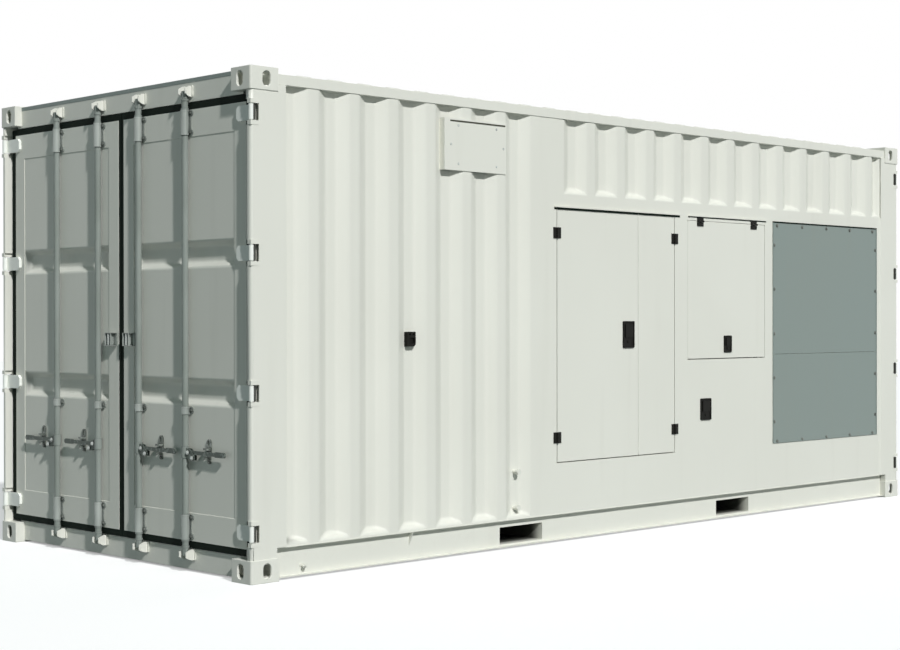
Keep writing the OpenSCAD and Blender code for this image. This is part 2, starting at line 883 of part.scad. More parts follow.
module cam_keepers() {
    color(white_paint) both_ends() end_keepers();
}

// Catch in a wall groove that takes the cargo door's holdback, with a cup and two eyes
module wall_holdbacks() {
    y = -wall_y + corr_depth;
    color(black_plastic) both_sides() translate([catch_x, 0, holdback_z]) difference() {
        across_y(y - catch_d, y) difference() {
            rounded_2d(catch_w, catch_h, 5);
            translate([catch_w / 2, -catch_h / 2]) rotate(45) square(16, center = true);
        }
        across_y(y - catch_d - 1, y - catch_d + 10) {
            translate([3, -8]) rounded_2d(catch_w - 22, catch_h - 48, 6);
            for (x = [-12, 16]) translate([x, catch_h / 2 - 14]) circle(7);
        }
    }
}

// Two capped drain stubs at the foot of the near wall
module drain_stubs() {
    x = groove_at(frame_x0 - 310);
    y = -wall_y + corr_depth;
    color(white_paint) for (up = stub_up) translate([x, y, rail_top + up]) rotate([90, 0, 0]) {
        cylinder(r = stub_r, h = stub_l);
        translate([0, 0, stub_l]) cylinder(r = stub_cap_r, h = stub_cap_h, $fn = 6);
    }
}

// ---------- small hinges ----------

// Frame half of a small hinge: plate on the +X side of a pin that stands along Z
module hinge_frame_half(reach) {
    block([plate_start, -plate_h, -hinge_h / 2], [reach, 0, hinge_h / 2]);
    for (s = [-1, 1]) translate([0, -small_pin_up, s * hinge_h / 3]) {
        cylinder(r = small_knuckle_r, h = hinge_h / 3 - 1, center = true);
        block([0, 2, -hinge_h / 6 + 0.5], [plate_start + 0.5, small_knuckle_r, hinge_h / 6 - 0.5]);
    }
    translate([0, -small_pin_up, 0]) cylinder(r = small_pin_r, h = hinge_h, center = true);
}

// Leaf half of a small hinge, its plate on the -X side of the pin
module hinge_leaf_half() {
    difference() {
        union() {
            block([-plate_reach, -plate_h, -hinge_h / 2], [-plate_start, 0, hinge_h / 2]);
            translate([0, -small_pin_up, 0]) cylinder(r = small_knuckle_r, h = hinge_h / 3, center = true);
            block([-plate_start - 0.5, -plate_h, -hinge_h / 6], [0, -0.5, hinge_h / 6]);
        }
        translate([0, -small_pin_up, 0]) cylinder(r = small_pin_r + run_gap, h = hinge_h, center = true);
    }
}

// Puts a hinge at a leaf's edge; side is -1 where the leaf lies at +X of the pin
module at_side_hinge(x, z, side) {
    translate([x, -wall_y, z]) scale_x(side) children();
}

module scale_x(side) {
    if (side < 0) mirror([1, 0, 0]) children();
    else children();
}

module at_flap_hinge(x) {
    translate([x, -wall_y, flap_z1 + door_gap / 2]) rotate([0, -90, 0]) children();
}

module frame_hinge_halves() {
    for (z = leaf_hinge_zs) {
        at_side_hinge(wide_pin_x, z, -1) hinge_frame_half(plate_reach);
        at_side_hinge(narrow_pin_x, z, 1) hinge_frame_half(plate_reach);
    }
    for (x = flap_hinge_xs) at_flap_hinge(x) hinge_frame_half(plate_reach - 4);
}

module service_hinge_plates() {
    color(black_plastic) frame_hinge_halves();
}

// ---------- service doors ----------

// Sheet tray with returns and inner lips, outer face on the wall plane
module tray(x0, x1, z0, z1) {
    lip = 22;
    difference() {
        block([x0, -wall_y, z0], [x1, -wall_y + tray_d, z1]);
        block([x0 + plate_t, -wall_y + plate_t, z0 + plate_t],
              [x1 - plate_t, -wall_y + tray_d - plate_t, z1 - plate_t]);
        block([x0 + lip, -wall_y + plate_t, z0 + lip], [x1 - lip, 0, z1 - lip]);
    }
}

module wide_leaf() {
    tray(wide_x0, wide_x0 + wide_w, tray_z0, tray_z1);
}

module narrow_leaf() {
    tray(narrow_x0, narrow_x1, tray_z0, tray_z1);
}

module flap() {
    tray(flap_x0, flap_x1, flap_z0, flap_z1);
}

// Paddle latch: a rimmed cup with a lever and a lock barrel in it, w by h, centred at x, z
module paddle_latch(x, z, w, h) {
    front = -wall_y - latch_d;
    floor_y = -wall_y - latch_d / 2 + 0.5;
    translate([x, 0, z]) {
        difference() {
            across_y(front, -wall_y) rounded_2d(w, h, latch_rim);
            across_y(front - 1, floor_y) rounded_2d(w - 2 * latch_rim, h - 2 * latch_rim, latch_rim / 2);
        }
        across_y(front - 3, floor_y + 1) translate([0, h * 0.14]) rounded_2d(w - 34, h * 0.5, 5);
        across_y(front + 1, floor_y + 1) translate([0, -h * 0.27]) circle(9);
    }
}

module wide_fittings() {
    for (z = leaf_hinge_zs) at_side_hinge(wide_pin_x, z, -1) hinge_leaf_half();
    paddle_latch(wide_x0 + wide_w - 96, (tray_z0 + tray_z1) / 2, 106, 165);
}

module narrow_fittings() {
    for (z = leaf_hinge_zs) at_side_hinge(narrow_pin_x, z, 1) hinge_leaf_half();
}

module flap_fittings() {
    for (x = flap_hinge_xs) at_flap_hinge(x) hinge_leaf_half();
    paddle_latch((flap_x0 + flap_x1) / 2, flap_z0 + 92, 80, 110);
}

module panel_latch() {
    paddle_latch(flap_x0 + 180, flap_z0 - 330, 110, 140);
}

module wide_service_leaf() { color(white_paint) wide_leaf(); }

module wide_leaf_hardware() { color(black_plastic) wide_fittings(); }

module narrow_service_leaf() { color(white_paint) narrow_leaf(); }

module narrow_leaf_hardware() { color(black_plastic) narrow_fittings(); }

module control_flap() { color(white_paint) flap(); }

module control_flap_hardware() { color(black_plastic) flap_fittings(); }

module lower_panel_latch() { color(black_plastic) panel_latch(); }

module far_side_doors() {
    color(white_paint) mirror([0, 1, 0]) {
        wide_leaf();
        narrow_leaf();
        flap();
    }
}

module far_side_hardware() {
    color(black_plastic) mirror([0, 1, 0]) {
        frame_hinge_halves();
        wide_fittings();
        narrow_fittings();
        flap_fittings();
    }
}

// ---------- cargo doors: all for the -Y leaf at the -X end ----------

// Upright tube, open at its ends
module stile(y0) {
    y1 = y0 + stile_w;
    difference() {
        block([-leaf_x, -y1, leaf_z0], [-leaf_x + leaf_d, -y0, leaf_z1]);
        block([-leaf_x + leaf_t, -y1 + leaf_t, leaf_z0 - 1],
              [-leaf_x + leaf_d - leaf_t, -y0 - leaf_t, leaf_z1 + 1]);
    }
}

// Channel between the stiles; open is -1 for open downwards, 1 for open upwards
module leaf_channel(z0, z1, open) {
    y0 = leaf_y0 + stile_w;
    y1 = leaf_y1 - stile_w;
    difference() {
        block([-leaf_x, -y1, z0], [-leaf_x + leaf_d, -y0, z1]);
        translate([0, 0, open * leaf_t])
            block([-leaf_x + leaf_t, -y1 - 1, z0], [-leaf_x + leaf_d - leaf_t, -y0 + 1, z1]);
    }
}

// Two horizontal grooves with sloping ends
module leaf_grooves() {
    y0 = leaf_y0 + stile_w + 5;
    y1 = leaf_y1 - stile_w - 5;
    mid = (leaf_z0 + leaf_z1) / 2 + 12;
    depth = leaf_d - 12;
    intersection() {
        across_y(-y1, -y0) for (s = [-1, 1]) translate([-leaf_x + 3, mid + s * groove_pitch / 2])
            rotate(-90) groove_2d(groove_h, 28, depth);
        upwards(leaf_z0, leaf_z1) translate([-leaf_x + 3, 0])
            polygon([[-over, -y1], [0, -y1], [depth, -y1 + 28], [depth, -y0 - 28], [0, -y0], [-over, -y0]]);
    }
}

module leaf_panel() {
    y0 = leaf_y0 + stile_w;
    y1 = leaf_y1 - stile_w;
    z0 = leaf_z0 + leaf_foot_h;
    z1 = leaf_z1 - leaf_head_h;
    x = -leaf_x + 3;
    back = x + leaf_d - 12 + sheet_t;
    difference() {
        block([x, -y1, z0], [back, -y0, z1]);
        leaf_grooves();
        translate([sheet_t, 0, 0]) difference() {
            block([x, -y1 - 1, z0 - 1], [back + over, -y0 + 1, z1 + 1]);
            leaf_grooves();
        }
    }
}

module cargo_leaf() {
    stile(leaf_y0);
    stile(leaf_y1 - stile_w);
    leaf_channel(leaf_z1 - leaf_head_h, leaf_z1, 1);
    leaf_channel(leaf_z0, leaf_z0 + leaf_foot_h, -1);
    leaf_panel();
}

// Rubber frame round the leaf: a wide lip in front and a narrower core behind
module cargo_seal() {
    y0 = half_gap;
    y1 = leaf_y1 + seal_w;
    z0 = leaf_z0 - seal_w + 5;
    z1 = leaf_z1 + seal_w - 5;
    difference() {
        union() {
            block([-leaf_x + 2, -y1, z0], [-leaf_x + 8, -y0, z1]);
            block([-leaf_x + 8, -y1 + 14, z0 + 12], [-leaf_x + leaf_d - 6, -y0 - 4, z1 - 12]);
            block([-leaf_x + leaf_d - 6, -y1, z0], [-leaf_x + leaf_d, -y0, z1]);
        }
        block([-leaf_x, -leaf_y1, leaf_z0], [-leaf_x + leaf_d + 1, -leaf_y0, leaf_z1]);
    }
}

// Hinge blade from the pin to the face of the leaf
module hinge_blade(z) {
    y1 = -leaf_y1 + 62;
    h = blade_h / 2;
    translate([0, 0, z]) {
        translate([-pin_x, -pin_y, 0]) {
            cylinder(r = knuckle_r, h = blade_h, center = true);
            cylinder(r = pin_r, h = notch_h, center = true);
        }
        along_x(-blade_x - 9, -leaf_x)
            polygon([
                [-pin_y, -h], [y1 - 16, -h], [y1, -h + 16], [y1, h - 16], [y1 - 16, h], [-pin_y, h]
            ]);
    }
}

// Base plate of a rod bearing: two eared bars and the web between them, or one bar
module bearing_plate_2d(h) {
    ear = 30;
    if (h > 2 * ear) {
        for (s = [-1, 1]) translate([0, s * (h - ear) / 2]) stadium(bearing_w, ear);
        square([bearing_w - ear - 8, h - ear], center = true);
    } else {
        stadium(bearing_w - 8, h);
    }
}

// Bearing of a lock rod on the face at x: sleeve and foot on a base plate
module rod_bearing(y, z, h, x) {
    translate([0, -y, z]) difference() {
        union() {
            translate([-rod_x, 0, 0]) cylinder(r = bearing_r, h = h, center = true);
            block([-rod_x, -rod_r, -h / 2], [-x, rod_r, h / 2]);
            along_x(-x - bearing_t, -x) bearing_plate_2d(h);
        }
        translate([-rod_x, 0, 0]) cylinder(r = rod_r + run_gap, h = h + 2, center = true);
    }
}

// Catch that holds a stowed handle between two cheeks, with an eye for a seal above
module handle_catch(y) {
    gap = grip_h / 2 + 5;
    d = rod_x - leaf_x + 12;
    upper = 20;
    lower = 14;
    cheek_t = 11;
    base_t = 6;
    up = 75;
    down = 54;
    eye_up = 52;
    translate([-leaf_x + 3, -y - catch_y, handle_z]) {
        along_x(-base_t, 0) difference() {
            union() {
                translate([0, (up - 11) / 2]) rotate(90) stadium(up + 11, 2 * upper);
                translate([0, (2 - down) / 2]) rounded_2d(2 * lower, down + 2, 8);
            }
            translate([0, eye_up]) rotate(90) stadium(28, 18);
        }
        upwards(gap, gap + cheek_t) catch_cheek_2d(upper, d);
        upwards(-gap - cheek_t, -gap) catch_cheek_2d(lower, d);
    }
}

// Plan of a catch's cheek, w wide to each side and d deep, with its front corners cut
module catch_cheek_2d(w, d) {
    polygon([[0, -w], [0, w], [12 - d, w], [-d, w - 8], [-d, 8 - w], [12 - d, -w]]);
}

// Holdback near a leaf's free edge: an open box from y on and a bracket before it
module leaf_holdback(y) {
    w = 24;
    t = 3;
    h = holdback_h / 2;
    translate([-leaf_x, y, holdback_z]) {
        difference() {
            block([-holdback_d, 0, -h], [0, holdback_w, h]);
            block([-holdback_d - 1, t, t - h], [-t - 1, holdback_w - t, h - t]);
        }
        block([-t - 1, -w, t - h], [0, 0, h - t]);
        for (z = [-h, h - t]) block([4 - holdback_d, -w, z], [0, 0, z + t]);
    }
}

module cargo_hardware() {
    for (z = hinge_zs) hinge_blade(z);
    for (y = rod_ys) {
        rod_bearing(y, upper_bearing_z, bracket_h, leaf_x);
        rod_bearing(y, lower_bearing_z, bracket_h, leaf_x);
        rod_bearing(y, handle_z + 218, guide_h, leaf_x - 3);
        handle_catch(y);
    }
}

// Cam at a rod's end: the rod with two lobes
module cam_2d() {
    circle(rod_r);
    for (a = [70, 250]) rotate(a) translate([cam_r - cam_lobe_r, 0]) circle(cam_lobe_r);
}

// Handle towards the hinge side, bolted between the two cheeks of its hub, with a wider grip
module rod_handle() {
    front = -6;
    back = front + handle_t;
    bar = handle_bar_h / 2;
    cheek_t = 4;
    bolt_r = 8;
    hub_h = 60;
    root = -rod_r + 0.5;
    difference() {
        cylinder(r = rod_r + 4, h = hub_h, center = true);
        cylinder(r = rod_r - 1, h = hub_h + 2, center = true);
    }
    along_x(front, back) {
        translate([grip_l / 2 - handle_l, 0]) stadium(grip_l, grip_h);
        translate([grip_l / 2 - handle_l, -bar]) square([handle_l - grip_l / 2 + root, 2 * bar]);
    }
    for (x = [front - cheek_t, back]) along_x(x, x + cheek_t)
        polygon([[root, 24], [-50, 20], [-90, -16], [-90, -40], [-62, -40], [root, -26]]);
    for (p = [[-38, 0], [-76, -27]]) translate([front - 2 * cheek_t, p[0], p[1]]) rotate([0, 90, 0])
        cylinder(r = bolt_r, h = handle_t + 3 * cheek_t);
}

// Lock rod with cams, collars and its handle, on the rod's own axis
module lock_rod(y) {
    gap = 1.5;
    collars = [
        rod_z1 - cam_h - gap - collar_h, upper_bearing_z + bracket_h / 2 + gap,
        lower_bearing_z - bracket_h / 2 - gap - collar_h, rod_z0 + cam_h + gap
    ];
    translate([-rod_x, -y, 0]) {
        difference() {
            upwards(rod_z0, rod_z1) circle(rod_r);
            upwards(rod_z0 + 60, rod_z1 - 60) circle(rod_r - rod_t);
        }
        upwards(rod_z0, rod_z0 + cam_h) cam_2d();
        upwards(rod_z1 - cam_h, rod_z1) cam_2d();
        for (z = collars) upwards(z, z + collar_h) circle(collar_r);
        translate([0, 0, handle_z]) rod_handle();
    }
}

module left_cargo_leaf() { color(white_paint) mirror([0, 1, 0]) cargo_leaf(); }

module right_cargo_leaf() { color(white_paint) cargo_leaf(); }

module left_cargo_seal() { color(seal_rubber) mirror([0, 1, 0]) cargo_seal(); }

module right_cargo_seal() { color(seal_rubber) cargo_seal(); }

module left_cargo_hardware() {
    color(zinc_steel) {
        mirror([0, 1, 0]) cargo_hardware();
        leaf_holdback(66);
    }
}

module right_cargo_hardware() {
    color(zinc_steel) {
        cargo_hardware();
        leaf_holdback(-110);
    }
}

module left_inner_lock_rod() { color(zinc_steel) mirror([0, 1, 0]) lock_rod(rod_ys[0]); }

module left_outer_lock_rod() { color(zinc_steel) mirror([0, 1, 0]) lock_rod(rod_ys[1]); }

module right_inner_lock_rod() { color(zinc_steel) lock_rod(rod_ys[0]); }

module right_outer_lock_rod() { color(zinc_steel) lock_rod(rod_ys[1]); }

// ---------- far end: the same doors, kept shut ----------

module far_end() {
    mirror([1, 0, 0]) both_sides() children();
}

module far_end_doors() { color(white_paint) far_end() cargo_leaf(); }

module far_end_seals() { color(seal_rubber) far_end() cargo_seal(); }

module far_end_hardware() {
    color(zinc_steel) far_end() {
        cargo_hardware();
        leaf_holdback(-110);
    }
}

module far_end_lock_rods() { color(zinc_steel) far_end() for (y = rod_ys) lock_rod(y); }

bottom_corner_fittings();
top_corner_fittings();
corner_posts();
end_headers();
end_sills();
side_rail_webs();
side_rail_top_flanges();
side_rail_bottom_flanges();
top_side_rails();
roof_panel();
floor_plate();
floor_cross_members();
fork_pocket_cheeks();
fork_pocket_tops();
fork_pocket_straps();
rail_fittings();
corrugated_walls();
upper_wall_bands();
service_frame_uprights();
service_frame_sills();
service_frame_lintels();
control_lower_panels();
upper_air_panels();
lower_air_panels();
vent_cover();
rain_gutters();
cam_keepers();
wall_holdbacks();
drain_stubs();
service_hinge_plates();
lower_panel_latch();
far_side_doors();
far_side_hardware();
far_end_doors();
far_end_seals();
far_end_hardware();
far_end_lock_rods();
left_cargo_leaf();
left_cargo_seal();
left_cargo_hardware();
right_cargo_leaf();
right_cargo_seal();
right_cargo_hardware();
left_inner_lock_rod();
left_outer_lock_rod();
right_inner_lock_rod();
right_outer_lock_rod();
wide_service_leaf();
wide_leaf_hardware();
narrow_service_leaf();
narrow_leaf_hardware();
control_flap();
control_flap_hardware();
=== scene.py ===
"""Looks of a containerised diesel generator: finishes for its CAD nodes, small pieces, light and camera."""

import json
import logging
import math
from contextlib import contextmanager
from dataclasses import dataclass
from enum import Enum
from functools import cached_property
from typing import Callable, Iterator

import bmesh
import bpy
from mathutils import Matrix, Vector

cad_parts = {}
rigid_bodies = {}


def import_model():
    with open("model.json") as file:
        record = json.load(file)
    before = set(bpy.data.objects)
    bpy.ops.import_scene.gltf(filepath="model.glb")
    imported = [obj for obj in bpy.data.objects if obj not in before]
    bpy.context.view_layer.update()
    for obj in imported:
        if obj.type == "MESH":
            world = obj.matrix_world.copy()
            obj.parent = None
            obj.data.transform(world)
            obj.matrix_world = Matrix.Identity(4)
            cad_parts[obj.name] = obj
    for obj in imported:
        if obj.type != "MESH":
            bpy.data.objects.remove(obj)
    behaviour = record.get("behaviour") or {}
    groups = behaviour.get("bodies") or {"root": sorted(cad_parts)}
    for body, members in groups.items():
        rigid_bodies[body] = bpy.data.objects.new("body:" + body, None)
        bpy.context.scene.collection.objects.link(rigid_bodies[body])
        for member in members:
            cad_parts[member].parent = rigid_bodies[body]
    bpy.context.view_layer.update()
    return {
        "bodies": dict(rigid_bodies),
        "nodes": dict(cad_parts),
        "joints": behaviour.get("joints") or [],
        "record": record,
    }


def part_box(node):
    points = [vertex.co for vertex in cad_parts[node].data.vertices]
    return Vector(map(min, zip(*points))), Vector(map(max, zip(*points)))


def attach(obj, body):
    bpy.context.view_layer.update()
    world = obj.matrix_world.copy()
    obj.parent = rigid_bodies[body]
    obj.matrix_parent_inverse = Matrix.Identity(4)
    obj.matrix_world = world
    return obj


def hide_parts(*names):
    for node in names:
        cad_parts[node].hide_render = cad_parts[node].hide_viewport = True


LOG = logging.getLogger("generator")
OVERLAP = 0.001  # how far a seated piece reaches into its neighbour, in metres
FACING = 0.9  # least part of a face's normal that lies along the axis it faces
CLOSED_OPEN = (0.25, 0.85)  # shares of open surroundings at which a corner is tight and at which it is none
Pair = tuple[float, float]
Point = tuple[float, float, float]
Rgb = tuple[int, int, int]
Rgba = tuple[float, float, float, float]
Socket = bpy.types.NodeSocket
Material = bpy.types.Material
Piece = bpy.types.Object


class Way(Enum):
    """A way along an axis: its value is the sign, its label the word in a piece's name."""

    @property
    def label(self) -> str:
        """The way's name in small letters."""
        return self.name.lower()

    def span(self, *offs: float) -> list[float]:
        """Return distances from the object's middle as places this way, lowest first."""
        return sorted(self.value * off for off in offs)


class Side(Way):
    """A long side of the container, along Y."""

    NEAR = -1
    FAR = 1


class End(Way):
    """A short end of the container, along X."""

    DOOR_END = -1
    FAR_END = 1


class Hand(Way):
    """A leaf of an end, along Y."""

    RIGHT = -1
    LEFT = 1


class Slot(Enum):
    """Material slots of the record."""

    WHITE = "white_paint"
    GREY = "grey_paint"
    ZINC = "zinc_steel"
    BLACK = "black_fittings"
    RUBBER = "seal_rubber"
    FLOOR = "floor_steel"


# ---------- materials ----------


def linear(colour: Rgb) -> Rgba:
    """Turn an 8-bit sRGB colour into linear RGBA.

    Args:
        colour: red, green and blue from 0 to 255.

    Returns:
        The linear colour with alpha 1.
    """
    shares = [level / 255 for level in colour]
    red, green, blue = (
        share / 12.92 if share <= 0.04045 else ((share + 0.055) / 1.055) ** 2.4 for share in shares)
    return red, green, blue, 1.0


@dataclass(frozen=True)
class Grain:
    """A noise pattern: features per metre, octaves, the values spread by patches, stretch and shift."""

    scale: float
    detail: float = 2.0
    spread: Pair = (0.3, 0.7)
    stretch: Point = (1.0, 1.0, 1.0)
    shift: float = 0.0


class Nodes:
    """A node tree, with short calls for the nodes that the finishes and the stage share."""

    def __init__(self, tree: bpy.types.NodeTree) -> None:
        """Empty a tree.

        Args:
            tree: the node tree of a material or a world.
        """
        self.tree = tree
        self.tree.nodes.clear()

    @cached_property
    def place(self) -> Socket:
        """The object coordinates."""
        return self.add("TexCoord").outputs["Object"]

    def feed(self, socket: Socket, value: object) -> None:
        """Link a socket to another, or set its value.

        Args:
            socket: the input.
            value: the other socket, or the value.
        """
        if isinstance(value, Socket):
            self.tree.links.new(value, socket)
        else:
            socket.default_value = value

    def add(self, kind: str, *values: object, **settings: object) -> bpy.types.Node:
        """Add a node and fill it in.

        Args:
            kind: the node's type, without the ShaderNode that it starts with.
            values: sockets or values for its inputs in order, None for one that stays.
            settings: the node's properties.

        Returns:
            The node.
        """
        node = self.tree.nodes.new("ShaderNode" + kind)
        for name, setting in settings.items():
            setattr(node, name, setting)
        for socket, value in zip(node.inputs, values):
            if value is not None:
                self.feed(socket, value)
        return node

    def math(self, operation: str, first: object, second: object = 0.0) -> Socket:
        """Return the result of a math node on one or two numbers or sockets."""
        return self.add("Math", first, second, operation=operation).outputs[0]

    def noise(self, grain: Grain) -> Socket:
        """Return a pattern's value, which lies round 0.5."""
        mapping = self.add("Mapping", self.place, (grain.shift,) * 3, None, grain.stretch)
        return self.add("TexNoise", mapping.outputs[0], None, grain.scale, grain.detail).outputs[0]

    def ramp(self, value: object, low: float, high: float, start: float = 0.0, end: float = 1.0) -> Socket:
        """Map a value smoothly from one range to another, clamped.

        Args:
            value: the socket to map.
            low: input at which the result is start.
            high: input at which the result is end.
            start: result at low.
            end: result at high.

        Returns:
            The value socket.
        """
        return self.add("MapRange", value, low, high, start, end, interpolation_type="SMOOTHSTEP").outputs[0]

    def patches(self, grain: Grain, start: float = 0.0, end: float = 1.0) -> Socket:
        """Return a pattern spread smoothly from one value to another."""
        return self.ramp(self.noise(grain), *grain.spread, start, end)

    def axis(self, index: int) -> Socket:
        """Return the X, Y or Z coordinate."""
        return self.add("SeparateXYZ", self.place).outputs[index]

    def off(self, index: int, middle: float = 0.0) -> Socket:
        """Return the distance from a middle along X, Y or Z."""
        return self.math("ABSOLUTE", self.math("SUBTRACT", self.axis(index), middle))

    def mix(self, share: object, first: object, second: object) -> Socket:
        """Mix two colours.

        Args:
            share: how much of the second shows.
            first: colour or socket.
            second: colour or socket.

        Returns:
            The colour socket.
        """
        node = self.add("Mix", share, data_type="RGBA")
        self.feed(node.inputs[6], first)
        self.feed(node.inputs[7], second)
        return node.outputs[2]

    def crevice(self, reach: float) -> Socket:
        """Return how shut in the surface is, from 0 in the open to 1 in a tight corner.

        Args:
            reach: how far a neighbouring surface counts, in metres.

        Returns:
            The value socket.
        """
        node = self.add("AmbientOcclusion", samples=4)
        node.inputs["Distance"].default_value = reach
        return self.ramp(node.outputs["AO"], *CLOSED_OPEN, 1.0, 0.0)

    def bump(self, height: object, depth: float) -> Socket:
        """Return a normal bumped by a height.

        Args:
            height: height from 0 to 1.
            depth: metres for a height of 1.

        Returns:
            The normal socket.
        """
        node = self.add("Bump")
        node.inputs["Distance"].default_value = depth
        self.feed(node.inputs["Height"], height)
        return node.outputs[0]

    def seen_or_lit(self, seen: Socket, lit: Socket) -> Socket:
        """Show one shader to camera, glossy and transmission rays and another to all other rays.

        Args:
            seen: the shader that is looked at.
            lit: the shader that only sends light on.

        Returns:
            The shader socket.
        """
        path = self.add("LightPath")
        looked_at = path.outputs["Is Camera Ray"]
        for name in ("Is Glossy Ray", "Is Transmission Ray"):
            looked_at = self.math("MAXIMUM", looked_at, path.outputs[name])
        return self.add("MixShader", looked_at, lit, seen).outputs[0]


class Sheet(Nodes):
    """The node tree of a new material with one Principled shader."""

    def __init__(self, name: str) -> None:
        """Start the material.

        Args:
            name: the material's name.
        """
        self.material = bpy.data.materials.new(name)
        self.material.use_nodes = True
        super().__init__(self.material.node_tree)
        self.shader = self.add("BsdfPrincipled")
        self.add("OutputMaterial", self.shader.outputs[0])

    def surface(self, **values: object) -> Material:
        """Feed the shader's sockets.

        Args:
            values: what each takes, by its name with underscores for spaces.

        Returns:
            The material.
        """
        for name, value in values.items():
            self.feed(self.shader.inputs[name.replace("_", " ")], value)
        return self.material


@dataclass(frozen=True)
class Paint:
    """Sprayed paint on steel: orange peel, uneven sheet, dust streaks, dirt near the ground, and painted
    shade inside if asked.
    """

    name: str
    colour: Rgb
    roughness: float = 0.42
    dirt: Rgb = (150, 145, 128)
    dirt_roughness: float = 0.5
    clouds: Grain = Grain(0.9, 3.0, (0.25, 0.75))
    cloudy: float = 0.06
    runs: Grain = Grain(9.0, 2.0, (0.56, 0.78), (1.0, 1.0, 0.07), 3.0)
    streaks: float = 0.05
    spots: Grain = Grain(26.0, 4.0, (0.45, 0.70), shift=7.0)
    splash: float = 0.05
    splash_z: Pair = (0.02, 0.45)
    waves: Grain = Grain(2.6, 1.0, stretch=(1.0, 1.0, 0.6), shift=11.0)
    peel: Grain = Grain(420.0, 1.0)
    peel_share: float = 0.03
    film: float = 0.0012
    # painted shade: a dark colour towards the middle along Y, and where it fades in
    inside: Rgb | None = None
    inside_y: Pair = (1.078, 1.168)

    def build(self) -> Material:
        """Make the finish.

        Returns:
            The material.
        """
        sheet = Sheet(self.name)
        streaky = sheet.math(
            "ADD", sheet.patches(self.clouds, 0.0, self.cloudy), sheet.patches(self.runs, 0.0, self.streaks))
        ground = sheet.ramp(sheet.axis(2), *self.splash_z, 1.0, 0.0)
        splash = sheet.math("MULTIPLY", ground, sheet.patches(self.spots, 0.0, self.splash))
        dust = sheet.math("MAXIMUM", streaky, splash)
        coat = linear(self.colour)
        # painted shade inside the fork pockets: the coat darkens towards the middle along Y
        if self.inside is not None:
            coat = sheet.mix(sheet.ramp(sheet.off(1), *self.inside_y), linear(self.inside), coat)
        return sheet.surface(
            Base_Color=sheet.mix(dust, coat, linear(self.dirt)),
            Roughness=sheet.math("ADD", sheet.math("MULTIPLY", dust, self.dirt_roughness), self.roughness),
            Normal=self.skin(sheet),
        )

    def skin(self, sheet: Sheet) -> Socket:
        """Return the normal of the paint film over its sheet."""
        peel = sheet.math("MULTIPLY", sheet.noise(self.peel), self.peel_share)
        return sheet.bump(sheet.math("ADD", sheet.noise(self.waves), peel), self.film)


@dataclass(frozen=True)
class Moulding:
    """Satin black plastic or rubber with a fine grain."""

    name: str
    colour: Rgb
    roughness: float = 0.5
    grain: float = 900.0
    depth: float = 0.0002
    dust: Rgb = (92, 90, 82)
    dusty: float = 0.35
    dusting: Grain = Grain(14.0, 4.0, (0.45, 0.80))
    dust_roughness: float = 0.6
    shine: float = 0.12

    def build(self) -> Material:
        """Make the finish.

        Returns:
            The material.
        """
        sheet = Sheet(self.name)
        dusty = sheet.patches(self.dusting, 0.0, self.dusty)
        return sheet.surface(
            Base_Color=sheet.mix(dusty, linear(self.colour), linear(self.dust)),
            Roughness=sheet.math("ADD", sheet.math("MULTIPLY", dusty, self.dust_roughness), self.roughness),
            Specular_IOR_Level=self.shine,
            Normal=sheet.bump(sheet.noise(Grain(self.grain)), self.depth),
        )


@dataclass(frozen=True)
class Zinc:
    """Galvanised or plated steel: faint clouds of tone, dirt and painted shade in its corners."""

    name: str
    dark: Rgb
    light: Rgb
    # dark colour of the corners, partly dirt and partly painted shade
    grime: Rgb = (38, 44, 40)
    grime_reach: float = 0.012
    roughness: float = 0.36
    uneven: float = 0.1
    metallic: float = 0.25
    shine: float = 0.5
    polish: Grain = Grain(40.0)
    clouds: Grain = Grain(9.0, stretch=(1.0, 1.0, 0.35))
    pits: Grain = Grain(180.0)
    pit_depth: float = 0.00008

    def build(self) -> Material:
        """Make the finish.

        Returns:
            The material.
        """
        sheet = Sheet(self.name)
        return sheet.surface(
            Base_Color=self.grimed(sheet, self.tone(sheet)),
            Metallic=self.metallic,
            Roughness=sheet.patches(self.polish, self.roughness, self.roughness + self.uneven),
            Specular_IOR_Level=self.shine,
            Normal=self.skin(sheet),
        )

    def tone(self, sheet: Sheet) -> Socket:
        """Return the metal's slightly cloudy colour, drawn out along its height."""
        return sheet.mix(sheet.patches(self.clouds), linear(self.dark), linear(self.light))

    def grimed(self, sheet: Sheet, metal: Socket) -> Socket:
        """Return a colour darkened in its tight corners, partly dirt and partly painted shade."""
        # painted shade: the colour darkens where ambient occlusion finds surfaces near, with dirt in the same
        # corners
        return sheet.mix(sheet.crevice(self.grime_reach), metal, linear(self.grime))

    def skin(self, sheet: Sheet) -> Socket:
        """Return the normal of the plated surface."""
        return sheet.bump(sheet.noise(self.pits), self.pit_depth)


